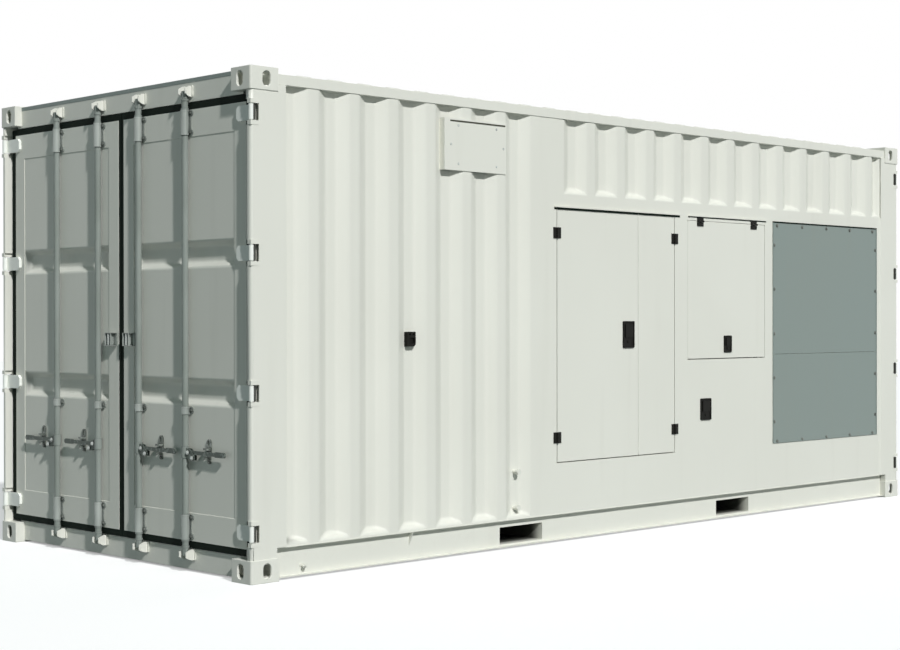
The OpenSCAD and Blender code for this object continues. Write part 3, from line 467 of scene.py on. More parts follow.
@dataclass(frozen=True)
class LockGear:
    """Plated door gear: dark worn handles between the rods with chips that also paint glints, blades beyond a
    width in a lighter paint that is painted light, and painted shade on their eyes in the posts' notches.
    """

    name: str
    plate: Zinc
    handle: Rgb
    chip: Rgb
    # paint of the hinge blades, lighter than the walls' paint: painted light for the light that the blades
    # catch
    paint: Rgb
    handle_z: float = 0.636
    handle_half: float = 0.076
    hinge_y: float = 1.045
    rod_ys: Pair = (0.2, 0.63)
    hub_r: float = 0.0215
    # painted shade on the blades' eyes in the posts' notches: its colour, and how far back and out it starts
    eye: Rgb = (58, 60, 54)
    eye_x: float = 3.009
    eye_y: float = 1.200
    # patches of the handles' lighter chips, which also paint their glints
    chips: Grain = Grain(48.0, spread=(0.54, 0.66))
    paint_roughness: float = 0.1

    def build(self) -> Material:
        """Make the finish.

        Returns:
            The material.
        """
        sheet = Sheet(self.name)
        off = sheet.off(1)
        grips = sheet.math("LESS_THAN", sheet.off(2, self.handle_z), self.handle_half)
        for rod_y in self.rod_ys:
            beside = sheet.math("ABSOLUTE", sheet.math("SUBTRACT", off, rod_y))
            grips = sheet.math("MULTIPLY", grips, sheet.math("GREATER_THAN", beside, self.hub_r))
        blades = sheet.math("GREATER_THAN", off, self.hinge_y)
        # worn chips on the handles, lighter patches that also paint glints
        worn = sheet.mix(sheet.patches(self.chips), linear(self.handle), linear(self.chip))
        metal = self.plate.grimed(sheet, sheet.mix(grips, self.plate.tone(sheet), worn))
        # painted shade: the blades darken behind and beyond these limits, where the posts' notches shade them
        behind = sheet.math("LESS_THAN", sheet.off(0), self.eye_x)
        notch_shade = sheet.math("MULTIPLY", behind, sheet.math("GREATER_THAN", off, self.eye_y))
        painted = sheet.mix(notch_shade, linear(self.paint), linear(self.eye))
        rougher = sheet.math("MULTIPLY", blades, self.paint_roughness)
        return sheet.surface(
            Base_Color=sheet.mix(blades, metal, painted),
            Metallic=sheet.math("MULTIPLY", sheet.math("SUBTRACT", 1.0, blades), self.plate.metallic),
            Roughness=sheet.math("ADD", rougher, self.plate.roughness),
            Specular_IOR_Level=self.plate.shine,
            Normal=self.plate.skin(sheet),
        )


@dataclass(frozen=True)
class FloorSteel:
    """Dark undercoated steel of the floor, its members and what lies under it."""

    name: str
    colour: Rgb
    worn: Rgb
    scuffs: Grain = Grain(7.0, 5.0, (0.48, 0.72))
    wear: float = 0.6
    polish: Grain = Grain(20.0)
    roughness: Pair = (0.45, 0.75)
    grit: Grain = Grain(90.0, 3.0)
    grit_depth: float = 0.0006

    def build(self) -> Material:
        """Make the finish.

        Returns:
            The material.
        """
        sheet = Sheet(self.name)
        scuffed = sheet.patches(self.scuffs, 0.0, self.wear)
        return sheet.surface(
            Base_Color=sheet.mix(scuffed, linear(self.colour), linear(self.worn)),
            Roughness=sheet.patches(self.polish, *self.roughness),
            Normal=sheet.bump(sheet.noise(self.grit), self.grit_depth),
        )


WHITE_PAINT = Paint("white_paint", (227, 227, 218))
# painted shade inside the fork pockets, whose inner faces are coloured dark
POCKET_PAINT_AND_SHADE = Paint("pocket_paint", (227, 227, 218), roughness=0.6, inside=(52, 54, 49))
GREY_PAINT = Paint("grey_panel_paint", (131, 143, 139), roughness=0.5, streaks=0.08)
BLACK_PLASTIC = Moulding("black_plastic", (22, 22, 19), dust=(50, 49, 44), dusty=0.15)
# dark mesh behind the vent slot; its dark tone also paints the slot's shade
GAUZE_AND_SHADE = Moulding("vent_gauze", (74, 74, 64), roughness=0.7, grain=700.0)
SEAL_RUBBER = Moulding(
    "seal_rubber", (17, 26, 21), roughness=0.75, grain=500.0, dust=(52, 60, 54), shine=0.08)
ZINC_PLATE = Zinc("zinc_plate", (150, 156, 151), (170, 176, 171), metallic=0.20, roughness=0.28)
DULL_ZINC = Zinc("dull_zinc", (132, 139, 133), (145, 152, 147), metallic=0.0, roughness=0.40, shine=0.25)
DARK_ZINC = Zinc("dark_zinc", (104, 108, 103), (140, 144, 138))
BRIGHT_ZINC = Zinc("bright_zinc", (196, 200, 196), (224, 228, 224), metallic=0.25, roughness=0.25)
# the blades' paint (244, 246, 240) is lighter than the walls' paint as painted light
DOOR_GEAR = LockGear("door_gear", ZINC_PLATE, (92, 98, 92), (140, 146, 140), (244, 246, 240))
LOCK_RODS = LockGear("lock_rods", DULL_ZINC, (84, 92, 86), (128, 135, 129), (244, 246, 240))
FLOOR_STEEL = FloorSteel("floor_steel", (62, 64, 66), (98, 92, 84))


class Dress:
    """The materials, and the finishes of the CAD nodes by their slot in the record."""

    def __init__(self, frame: dict) -> None:
        """Build the materials.

        Args:
            frame: what the frame's load returned.
        """
        self.frame = frame
        self.materials = {
            Slot.WHITE: WHITE_PAINT.build(),
            Slot.GREY: GREY_PAINT.build(),
            Slot.ZINC: DOOR_GEAR.build(),
            Slot.BLACK: BLACK_PLASTIC.build(),
            Slot.RUBBER: SEAL_RUBBER.build(),
            Slot.FLOOR: FLOOR_STEEL.build(),
        }
        self.rods = LOCK_RODS.build()
        self.pockets = POCKET_PAINT_AND_SHADE.build()
        self.gauze = GAUZE_AND_SHADE.build()
        self.dark_zinc = DARK_ZINC.build()
        self.bright_zinc = BRIGHT_ZINC.build()
        self.worn_zinc = ZINC_PLATE.build()
        bodies = frame["record"]["behaviour"]["bodies"]
        self.bodies = {node: body for body, nodes in bodies.items() for node in nodes}

    def dress_nodes(self) -> int:
        """Give each CAD node its slot's finish.

        Returns:
            How many nodes were dressed.
        """
        slots = {part["node"]: Slot(part["material_slot"]) for part in self.frame["record"]["subparts"]}
        for name, node in self.frame["nodes"].items():
            finish = self.rods if "lock_rod" in name else self.materials[slots[name]]
            clad(node, self.pockets if "fork_pocket" in name else finish)
        return len(slots)


# ---------- modelling ----------


def select(*pieces: Piece) -> None:
    """Select just the given objects and make the first of them active.

    Args:
        pieces: the objects, or none to deselect everything.
    """
    bpy.ops.object.select_all(action="DESELECT")
    for piece in pieces:
        piece.select_set(True)
    if pieces:
        bpy.context.view_layer.objects.active = pieces[0]


@contextmanager
def editing(piece: Piece, mode: str = "FACE") -> Iterator[None]:
    """Keep an object in edit mode with nothing selected.

    Args:
        piece: the object to edit.
        mode: select mode, VERT, EDGE or FACE.
    """
    select(piece)
    bpy.ops.object.mode_set(mode="EDIT")
    bpy.ops.mesh.select_mode(type=mode)
    bpy.ops.mesh.select_all(action="DESELECT")
    yield
    bpy.ops.object.mode_set(mode="OBJECT")


def pick_faces(test: Callable[[Vector], bool]) -> None:
    """Select just the faces of the edited mesh that pass a test.

    Args:
        test: takes a face's normal.
    """
    mesh = bpy.context.object.data
    bpy.ops.mesh.select_all(action="DESELECT")
    bpy.ops.object.mode_set(mode="OBJECT")
    for face in mesh.polygons:
        face.select = test(face.normal)
    bpy.ops.object.mode_set(mode="EDIT")


def clad(piece: Piece, finish: Material) -> None:
    """Give an object one material."""
    piece.data.materials.clear()
    piece.data.materials.append(finish)


def settle() -> None:
    """Apply the active object's place, turn and size to its mesh."""
    bpy.ops.object.transform_apply(location=True, rotation=True, scale=True)


def smooth(piece: Piece, degrees: float) -> None:
    """Shade an object smooth where its faces meet at less than an angle."""
    select(piece)
    bpy.ops.object.shade_smooth_by_angle(angle=math.radians(degrees))


def join(name: str, pieces: list[Piece]) -> Piece:
    """Join pieces into the first of them.

    Args:
        name: the joined piece's name.
        pieces: the pieces; all but the first are used up.

    Returns:
        The joined piece.
    """
    select(*pieces)
    bpy.ops.object.join()
    pieces[0].name = name
    return pieces[0]


def stamp(master: Piece, name: str, seats: list[Point], way: Point) -> Piece:
    """Put a copy of a master piece, each with its own mesh, at every seat and join them.

    Args:
        master: the piece at the origin, facing +Z; it is used up.
        name: the joined piece's name.
        seats: where the copies go.
        way: the direction that +Z is turned to.

    Returns:
        The joined piece, with its object at the origin.
    """
    turn = Vector(way).to_track_quat("Z", "Y").to_matrix().to_4x4()
    copies = []
    for seat in seats:
        copied = master.copy()
        copied.data = master.data.copy()
        copied.data.transform(Matrix.Translation(seat) @ turn)
        bpy.context.scene.collection.objects.link(copied)
        copies.append(copied)
    bpy.data.objects.remove(master)
    return join(name, copies)


def cylinder(
    sides: int, radius: float, height: float, middle: Point = (0, 0, 0), turn: Point = (0, 0, 0),
) -> Piece:
    """Make a closed cylinder.

    Args:
        sides: faces round it.
        radius: its radius.
        height: its length.
        middle: its centre.
        turn: its rotation in radians; unturned it stands along Z.

    Returns:
        The object, with its place and turn not yet applied.
    """
    select()
    bpy.ops.mesh.primitive_cylinder_add(
        vertices=sides, radius=radius, depth=height, location=middle, rotation=turn)
    return bpy.context.object


def disc(sides: int, radius: float, height: float, foot: float, chamfer: Pair) -> Piece:
    """Make a flat disc on the Z axis whose top stands up inside a chamfer.

    Args:
        sides: faces round it.
        radius: its radius.
        height: its height without the chamfer.
        foot: Z of its underside.
        chamfer: the chamfer's width and rise, as shares of the radius and the height.

    Returns:
        The disc.
    """
    piece = cylinder(sides, radius, height, (0, 0, foot + height / 2))
    with editing(piece):
        pick_faces(lambda normal: normal.z > FACING)
        bpy.ops.mesh.inset(thickness=radius * chamfer[0])
        bpy.ops.transform.translate(value=(0, 0, height * chamfer[1]))
    return piece


def bar(name: str, low: Point, high: Point, edge: float = 0.001, segments: int = 2) -> Piece:
    """Make a bar between two corners with its edges rounded.

    Args:
        name: the piece's name.
        low: the lowest corner.
        high: the highest corner.
        edge: how much the edges are rounded.
        segments: faces across each rounded edge.

    Returns:
        The piece, with its object at the origin.
    """
    size = [b - a for a, b in zip(low, high)]
    middle = [(a + b) / 2 for a, b in zip(low, high)]
    select()
    bpy.ops.mesh.primitive_cube_add(size=1, location=middle)
    piece = bpy.context.object
    piece.name = name
    with editing(piece):
        bpy.ops.mesh.select_all(action="SELECT")
        bpy.ops.transform.resize(value=size)
        bpy.ops.mesh.bevel(offset=edge, segments=segments, affect="EDGES")
    settle()
    return piece


def ring(
    outer: float, inner: float, height: float, sides: int = 32, lip: float = 0.03, smooth_deg: float = 40.0,
) -> Piece:
    """Make an upright ring round the origin with softened rims.

    Args:
        outer: outer radius.
        inner: inner radius.
        height: height, half above and half below the origin.
        sides: faces round the ring.
        lip: width and rise of the softened rims, as a share of the outer radius.
        smooth_deg: angle under which its faces are shaded as one.

    Returns:
        The ring.
    """
    piece = cylinder(sides, outer, height)
    with editing(piece):
        pick_faces(lambda normal: abs(normal.z) > FACING)
        bpy.ops.mesh.inset(thickness=outer * lip)
        bpy.ops.transform.resize(value=(1, 1, 1 + 2 * outer * lip / height))
        bpy.ops.mesh.inset(thickness=outer * (1 - lip) - inner)
        bpy.ops.mesh.bridge_edge_loops()
    smooth(piece, smooth_deg)
    return piece


@dataclass
class Bolts:
    """Hex bolts on washers, modelled once and copied to each place."""

    head_r: float = 0.0085
    head_h: float = 0.006
    washer_r: float = 0.0125
    washer_h: float = 0.002
    head_sides: int = 6
    washer_sides: int = 16
    head_chamfer: Pair = (0.16, 0.12)
    washer_chamfer: Pair = (0.08, 0.2)

    def master(self) -> Piece:
        """Model one bolt at the origin.

        Returns:
            The bolt, standing along +Z on its seat.
        """
        head = disc(self.head_sides, self.head_r, self.head_h, self.washer_h, self.head_chamfer)
        washer = disc(self.washer_sides, self.washer_r, self.washer_h, 0.0, self.washer_chamfer)
        bolt = join("bolt", [head, washer])
        settle()
        return bolt

    def place(self, name: str, seats: list[Point], way: Point) -> Piece:
        """Copy the bolt to each seat, its head pointing the given way, and join the copies."""
        return stamp(self.master(), name, seats, way)


# ---------- pieces ----------


@dataclass
class Fixings:
    """Pieces that are added to the CAD model in the finishes of its dress."""

    dress: Dress

    def seat(self, piece: Piece, body: str, slot: Slot, finish: Material | None = None) -> None:
        """Paint a piece, let it ride on a body and report it.

        Args:
            piece: the piece.
            body: the CAD body that carries it.
            slot: the record's material slot that its finish comes from.
            finish: its own finish, or None for the slot's.
        """
        clad(piece, finish or self.dress.materials[slot])
        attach(piece, body)
        LOG.info("%s: %d faces on %s", piece.name, len(piece.data.polygons), body)


@dataclass
class AirPanelFixings(Fixings):
    """Bolts round the grey air panels and the strips on their edges."""

    row_xs: tuple[float, ...] = (1.49, 1.79, 2.09, 2.39, 2.69)
    row_zs: Pair = (1.96, 0.485)
    column_xs: Pair = (1.455, 2.73)
    column_zs: tuple[float, ...] = (1.825, 1.525, 1.22, 0.92, 0.62)
    trim_top: float = 0.006
    trim_side: float = 0.005
    trim_out: float = 0.004
    trim_in: float = 0.002
    over: float = 0.003

    @cached_property
    def panels(self) -> tuple[Point, Point]:
        """The lowest and highest corners of all the panels."""
        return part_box("lower_air_panels")[0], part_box("upper_air_panels")[1]

    def face(self, side: Side) -> float:
        """Return Y of a side's panels."""
        return self.panels[0 if side is Side.NEAR else 1][1]

    def build(self) -> None:
        """Make the fixings on both long sides."""
        for side in Side:
            self.bolts(side)
            self.trim(side)

    def bolts(self, side: Side) -> None:
        """Bolt the panels to their frame.

        Args:
            side: the long side.
        """
        seats = [(x, self.face(side), z) for z in self.row_zs for x in self.row_xs]
        seats += [(x, self.face(side), z) for x in self.column_xs for z in self.column_zs]
        piece = Bolts().place(f"air_panel_bolts_{side.label}", seats, (0, side.value, 0))
        self.seat(piece, "root", Slot.ZINC, self.dress.dark_zinc)

    def trim(self, side: Side) -> None:
        """Push a dark strip in the seal rubber's finish onto the panels' top edge and a painted trim onto the
        other three.

        Args:
            side: the long side.
        """
        face = self.face(side)
        y0, y1 = sorted((face + side.value * self.trim_out, face - side.value * self.trim_in))
        (x0, _, z0), (x1, _, z1) = self.panels
        x0, x1, top = x0 - self.over, x1 + self.over, z1 - self.trim_top
        # a dark strip along the panels' top edge
        rubber = bar(f"air_panel_rubber_{side.label}", (x0, y0, top), (x1, y1, z1 + self.over))
        self.seat(rubber, "root", Slot.RUBBER)
        strips = [
            bar("bottom", (x0, y0, z0 - self.over), (x1, y1, z0 + self.trim_side)),
            bar("start", (x0, y0, z0), (x0 + self.trim_side, y1, top)),
            bar("end", (x1 - self.trim_side, y0, z0), (x1, y1, top)),
        ]
        self.seat(join(f"air_panel_trim_{side.label}", strips), "root", Slot.GREY)


@dataclass
class RainStrips(Fixings):
    """Rubber strips on the service doors' top edges, under the rain gutters; their dark also paints the
    gutters' shadow.
    """

    height: float = 0.011
    depth: float = 0.006
    edge: float = 0.0015
    under: float = 0.0015
    gap: float = 0.003
    beyond: float = 0.057

    @cached_property
    def gutter(self) -> tuple[Point, Point]:
        """The gutters' lowest and highest corners."""
        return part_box("rain_gutters")

    def build(self) -> None:
        """Make a strip on each near door, the fixed strips and the repeats on the far side."""
        top = self.gutter[0][2] - self.under
        for door in ("wide_service", "narrow_service"):
            low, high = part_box(f"{door}_leaf")
            for side, body in ((Side.NEAR, f"{door}_door"), (Side.FAR, "root")):
                y0, y1 = side.span(-low[1], -low[1] + self.depth)
                name = f"{door}_leaf_rain_strip_{side.label}"
                # strip partly a seal and partly painted shadow under the gutter
                strip = bar(name, (low[0], y0, top - self.height), (high[0], y1, top), self.edge)
                self.seat(strip, body, Slot.RUBBER)
        for side in Side:
            self.ends(side)
        for side in Side:
            self.over_flap(side)

    def ends(self, side: Side) -> None:
        """Fill the line beside the doors, under the gutter's ends, with fixed strips that also paint the
        gutter's shadow.

        Args:
            side: the long side.
        """
        wide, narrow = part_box("wide_service_leaf"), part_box("narrow_service_leaf")
        top = self.gutter[0][2] - self.under
        y0, y1 = side.span(-wide[0][1], -wide[0][1] + self.depth / 2)
        spans = (
            (self.gutter[0][0], wide[0][0] - self.gap), (narrow[1][0] + self.gap, narrow[1][0] + self.beyond))
        # strips partly a seal and partly painted shadow under the gutter
        strips = [bar("end", (x0, y0, top - self.height), (x1, y1, top)) for x0, x1 in spans]
        self.seat(join(f"gutter_end_strips_{side.label}", strips), "root", Slot.RUBBER)

    def over_flap(self, side: Side) -> None:
        """Fix a thin strip under the gutter over the control flap, which also paints the gutter's shadow.

        Args:
            side: the long side.
        """
        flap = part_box("control_flap")[0]
        top = self.gutter[0][2] - self.under / 2
        y0, y1 = side.span(-flap[1], -flap[1] + self.depth / 2)
        # strip partly a seal and partly painted shadow under the gutter
        strip = bar(
            f"flap_gutter_strip_{side.label}", (flap[0], y0, top - self.height / 2),
            (self.gutter[1][0], y1, top))
        self.seat(strip, "root", Slot.RUBBER)


@dataclass
class EdgeLips(Fixings):
    """Pale lips on the edges of the narrow door and the flap, inside the gaps beside them."""

    reach: float = 0.0035
    sunk: float = 0.0006
    depth: float = 0.005
    end_gap: float = 0.004

    def build(self) -> None:
        """Make the lips of both doors and their plain repeats on the far side."""
        for node, body in (("narrow_service_leaf", "narrow_service_door"), ("control_flap", "control_flap")):
            low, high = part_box(node)
            z0, z1 = low[2] + self.end_gap, high[2] - self.end_gap
            for side, carrier in ((Side.NEAR, body), (Side.FAR, "root")):
                y0, y1 = side.span(-low[1] - self.sunk, -low[1] - self.depth)
                lips = [bar("side", (low[0] - self.reach, y0, z0), (low[0] + OVERLAP, y1, z1))]
                if node == "control_flap":
                    x1, top = high[0], high[2]
                    lips.append(bar("end", (x1 - OVERLAP, y0, z0), (x1 + self.reach, y1, z1)))
                    lips.append(bar("top", (low[0], y0, top - OVERLAP), (x1, y1, top + self.reach)))
                self.seat(join(f"{node}_lips_{side.label}", lips), carrier, Slot.WHITE)


@dataclass
class EndStrips(Fixings):
    """Darker grey strips along the top of the headers, and the lips that narrow the gap between two leaves.
    """

    header_z: Pair = (2.563, 2.5845)
    header_half: float = 1.098
    header_out: float = 0.0015
    header_edge: float = 0.0006
    lip_z: Pair = (0.135, 2.450)
    lip_short: float = 0.001
    lip_root: float = 0.006
    lip_x: Pair = (2.974, 2.978)
    lip_edge: float = 0.0008

    def build(self) -> None:
        """Make the strips and lips of both ends."""
        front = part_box("end_headers")[1][0]
        for end in End:
            x0, x1 = end.span(front - OVERLAP, front + self.header_out)
            # a darker grey strip along the header's top edge
            strip = bar(
                f"header_strip_{end.label}", (x0, -self.header_half, self.header_z[0]),
                (x1, self.header_half, self.header_z[1]), self.header_edge)
            self.seat(strip, "root", Slot.GREY)
        for hand in Hand:
            name = f"{hand.label}_cargo"
            self.lip(f"{name}_lip", End.DOOR_END, hand.span(self.lip_short, self.lip_root), f"{name}_door")
        self.lip("far_end_lip", End.FAR_END, [-self.lip_root, self.lip_root], "root")

    def lip(self, name: str, end: End, across: list[float], body: str) -> None:
        """Stand one rubber lip in the gap between two leaves.

        Args:
            name: the piece's name.
            end: the container's end.
            across: the lip's lowest and highest Y.
            body: the body that carries it.
        """
        x0, x1 = end.span(*self.lip_x)
        piece = bar(name, (x0, across[0], self.lip_z[0]), (x1, across[1], self.lip_z[1]), self.lip_edge)
        self.seat(piece, body, Slot.RUBBER)


@dataclass
class PostFillets(Fixings):
    """Fillets on the far end's posts, where the flat frame of the service side meets them."""

    wall: float = 1.205
    sunk: float = 0.002
    run: float = 0.022
    below_post: float = 0.0005
    feather: float = 0.0008
    post_x: float = 2.801
    over_rail: float = 0.002
    top: float = 2.062
    edge: float = 0.0004

    def build(self) -> None:
        """Lay a fillet on each long side: a bar whose front edge by the wall is let down to it."""
        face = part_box("corner_posts")[1][1] - self.below_post
        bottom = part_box("side_rail_top_flanges")[1][2] + self.over_rail
        for side in Side:
            y0, y1 = side.span(self.wall - self.sunk, face)
            fillet = bar(
                f"post_fillet_{side.label}", (self.post_x - self.run, y0, bottom),
                (self.post_x + OVERLAP, y1, self.top), self.edge, segments=1)
            with editing(fillet, "VERT"):
                mesh = bmesh.from_edit_mesh(fillet.data)
                for vertex in mesh.verts:
                    at_wall = vertex.co.x < self.post_x - self.run / 2
                    vertex.select_set(at_wall and abs(vertex.co.y) > face - OVERLAP)
                mesh.select_flush_mode()
                bmesh.update_edit_mesh(fillet.data)
                down = self.feather - (face - self.wall)
                bpy.ops.transform.translate(value=(0, side.value * down, 0))
            self.seat(fillet, "root", Slot.WHITE)


@dataclass
class LeafWelds(Fixings):
    """Weld beads between the members and panels of the cargo leaves."""

    sides: int = 8
    radius: float = 0.0026
    ripple: float = 0.012
    swell: float = 0.22
    from_side: float = 0.098
    from_top: float = 0.140
    from_foot: float = 0.145
    sunk: float = 0.003
    smooth_deg: float = 50.0

    def build(self) -> None:
        """Weld the two leaves of the door end."""
        for hand in (Hand.LEFT, Hand.RIGHT):
            node = f"{hand.label}_cargo_leaf"
            low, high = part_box(node)
            length = high[1] - low[1] - 2 * self.from_side
            beads = [self.bead((low[0] + self.sunk, low[1] + self.from_side, z), length)
                     for z in (high[2] - self.from_top, low[2] + self.from_foot)]
            self.seat(join(f"{node}_welds", beads), f"{hand.label}_cargo_door", Slot.WHITE)

    def bead(self, start: Point, length: float) -> Piece:
        """Lay one rippled bead along Y.

        Args:
            start: where the bead begins.
            length: how long it is.

        Returns:
            The bead.
        """
        rings = int(length / self.ripple)
        middle = (start[0], start[1] + length / 2, start[2])
        bead = cylinder(self.sides, self.radius, length, middle, (math.pi / 2, 0, 0))
        settle()
        with editing(bead):
            for index in range(1, rings):
                bpy.ops.mesh.select_all(action="SELECT")
                at = start[1] + length * index / rings
                bpy.ops.mesh.bisect(plane_co=(0, at, 0), plane_no=(0, 1, 0))
        for vertex in bead.data.vertices:
            share = (vertex.co.y - start[1]) / length * rings
            grow = 1.0 + self.swell * (round(share) % 2)
            vertex.co.x = start[0] + (vertex.co.x - start[0]) * grow
            vertex.co.z = start[2] + (vertex.co.z - start[2]) * grow
        smooth(bead, self.smooth_deg)
        return bead


@dataclass(frozen=True)
class Leaf:
    """One cargo leaf, at the door end or repeated at the far end."""

    end: End
    hand: Hand

    @property
    def label(self) -> str:
        """The leaf's words in a piece's name."""
        return f"{self.hand.label}_{self.end.label}"

    def body(self, part: str) -> str:
        """Return the body of one of the leaf's parts; those of the far end are all fixed."""
        return f"{self.hand.label}_{part}" if self.end is End.DOOR_END else "root"

    def spot(self, out: float, across: float, height: float) -> Point:
        """Return a place by its distances from the container's middle planes and its height."""
        return self.end.value * out, self.hand.value * across, height


@dataclass
class LockGearFixings(Fixings):
    """Bolts of the lock gear, bushings on the rods' bearings and what lies in the holdbacks."""

    rod_ys: Pair = (0.2, 0.63)
    axis_x: float = 3.006
    sleeve_r: float = 0.0218
    bearing_h: float = 0.130
    bearing_in: Pair = (0.068, 0.074)
    plate: float = 0.005
    ears: Pair = (0.031, 0.050)
    guide_z: float = 0.848
    guide_h: float = 0.040
    guide_x: float = 2.986
    handle_z: float = 0.630
    catch: Point = (2.987, 0.179, -0.044)
    hub_x: float = 3.020
    hub_bolts: tuple[Pair, ...] = ((0.038, 0.0), (0.076, -0.027))
    bushing_h: float = 0.009
    bushing_in: float = 0.004
    bushing_wall: Pair = (0.0010, 0.0006)
    box_x: Pair = (2.985, 3.011)
    box_z: Pair = (1.182, 1.248)
    left_box_y: Pair = (0.066, 0.122)
    right_box_y: Pair = (-0.110, -0.054)
    pad: float = 0.004
    tongue_half: float = 0.006
    tongue_foot: float = 0.003
    tongue_edge: float = 0.002

    @cached_property
    def centres(self) -> Pair:
        """Heights of the upper and the lower bearings."""
        low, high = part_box("right_cargo_leaf")
        return high[2] - self.bearing_in[0], low[2] + self.bearing_in[1]

    def build(self) -> None:
        """Fix the gear of the two leaves at the door end and of the two at the far end."""
        for end in End:
            for hand in Hand:
                leaf = Leaf(end, hand)
                self.base_bolts(leaf)
                self.bushings(leaf)
                for y, which in zip(self.rod_ys, ("inner", "outer")):
                    self.hub(leaf, y, which)
        self.holdback("left_cargo_door", *self.left_box_y)
        self.holdback("right_cargo_door", *self.right_box_y)

    def base_bolts(self, leaf: Leaf) -> None:
        """Bolt one leaf's bearings, guides and handle catches down.

        Args:
            leaf: the leaf.
        """
        seats = []
        across, along = self.ears
        face = self.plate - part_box("right_cargo_leaf")[0][0]
        for y in self.rod_ys:
            for ear in (y - across * leaf.hand.value, y + across * leaf.hand.value):
                seats += [leaf.spot(face, ear, z + dz) for z in self.centres for dz in (-along, along)]
                seats.append(leaf.spot(self.guide_x, ear, self.guide_z))
            seats.append(leaf.spot(self.catch[0], y + self.catch[1], self.handle_z + self.catch[2]))
        bolts = Bolts(head_r=0.007, head_h=0.005, washer_r=0.0105, washer_h=0.0015)
        piece = bolts.place(f"lock_gear_bolts_{leaf.label}", seats, (leaf.end.value, 0, 0))
        self.seat(piece, leaf.body("cargo_door"), Slot.ZINC, self.dress.dark_zinc)

    def bushings(self, leaf: Leaf) -> None:
        """Put a worn bushing ring round each bearing's sleeve ends and each guide's top.

        Args:
            leaf: the leaf.
        """
        half = self.bearing_h / 2 - self.bushing_in
        levels = [z + dz for z in self.centres for dz in (-half, half)]
        levels.append(self.guide_z + self.guide_h / 2 - self.bushing_in)
        seats = [leaf.spot(self.axis_x, y, z) for y in self.rod_ys for z in levels]
        bushing = ring(
            self.sleeve_r + self.bushing_wall[0], self.sleeve_r - self.bushing_wall[1], self.bushing_h)
        piece = stamp(bushing, f"bushings_{leaf.label}", seats, (0, 0, 1))
        self.seat(piece, leaf.body("cargo_door"), Slot.ZINC, self.dress.worn_zinc)

    def hub(self, leaf: Leaf, y: float, which: str) -> None:
        """Bolt one handle between the cheeks of its rod's hub.

        Args:
            leaf: the leaf.
            y: the rod's distance from the middle.
            which: the rod's word, inner or outer.
        """
        seats = [leaf.spot(self.hub_x, y + dy, self.handle_z + dz) for dy, dz in self.hub_bolts]
        bolts = Bolts(head_r=0.0085, head_h=0.005, washer_r=0.0115, washer_h=0.0015)
        name = f"hub_bolts_{leaf.hand.label}_{which}_{leaf.end.label}"
        piece = bolts.place(name, seats, (leaf.end.value, 0, 0))
        self.seat(piece, leaf.body(f"{which}_rod"), Slot.ZINC, self.dress.bright_zinc)

    def holdback(self, body: str, y0: float, y1: float) -> None:
        """Line one holdback box with a dark rubber pad that paints the box's shade, and stand a tongue in it.

        Args:
            body: the door that carries the box.
            y0: the box's lowest Y.
            y1: its highest Y.
        """
        back, front = -self.box_x[0], -self.box_x[1]
        z0, z1 = self.box_z
        # painted shade: a dark pad at the back of the box
        pad = bar(f"{body}_holdback_pad", (back - self.pad, y0 + self.pad, z0), (back, y1 - self.pad, z1))
        self.seat(pad, body, Slot.RUBBER)
        middle = (y0 + y1) / 2
        tongue = bar(
            f"{body}_holdback_tongue", (front, middle - self.tongue_half, z0),
            (back - self.tongue_foot, middle + self.tongue_half, z1), self.tongue_edge)
        self.seat(tongue, body, Slot.ZINC, self.dress.bright_zinc)


@dataclass
class VentDetails(Fixings):
    """Dark mesh behind the vent cover's slot, whose tone also paints the slot's shade, and the screws round
    its plate.
    """

    slot_x: Pair = (0.045, 0.006)
    slot_z: Pair = (0.019, 0.009)
    sunk: float = 0.001
    thick: float = 0.002
    edge: float = 0.0004
    screws: tuple[Pair, ...] = ((0.052, 0.1445), (0.109, 0.038), (0.109, 0.251))
    screw_shift: float = 0.030

    def build(self) -> None:
        """Make the dark mesh strip and the screws."""
        low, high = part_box("vent_cover")
        front = low[1] + self.sunk
        # mesh strip whose dark tone also paints the slot's shade
        strip = bar(
            "vent_gauze",
            (low[0] + self.slot_x[0] - OVERLAP, front, high[2] - self.slot_z[0] - OVERLAP),
            (high[0] - self.slot_x[1] + OVERLAP, front + self.thick, high[2] - self.slot_z[1] + OVERLAP),
            self.edge)
        self.seat(strip, "root", Slot.BLACK, self.dress.gauze)
        seats = [(low[0] + dx, low[1], low[2] + dz) for dx, dz in self.screws]
        seats += [(high[0] - dx + self.screw_shift, low[1], low[2] + dz) for dx, dz in self.screws]
        screws = Bolts(head_r=0.0045, head_h=0.002, washer_r=0.0075, washer_h=0.001)
        piece = screws.place("vent_cover_screws", seats, (0, -1, 0))
        self.seat(piece, "root", Slot.ZINC, self.dress.bright_zinc)


@dataclass(frozen=True)
class Bend:
    """CAD nodes whose bends or edges are rounded alike, and how."""

    size: float
    nodes: tuple[str, ...]
    least: float = 12.0
    most: float = 62.0
    steps: int = 3
    whole_faces: bool = False
    corner: Pair | None = None
    ending: str = "rolled"


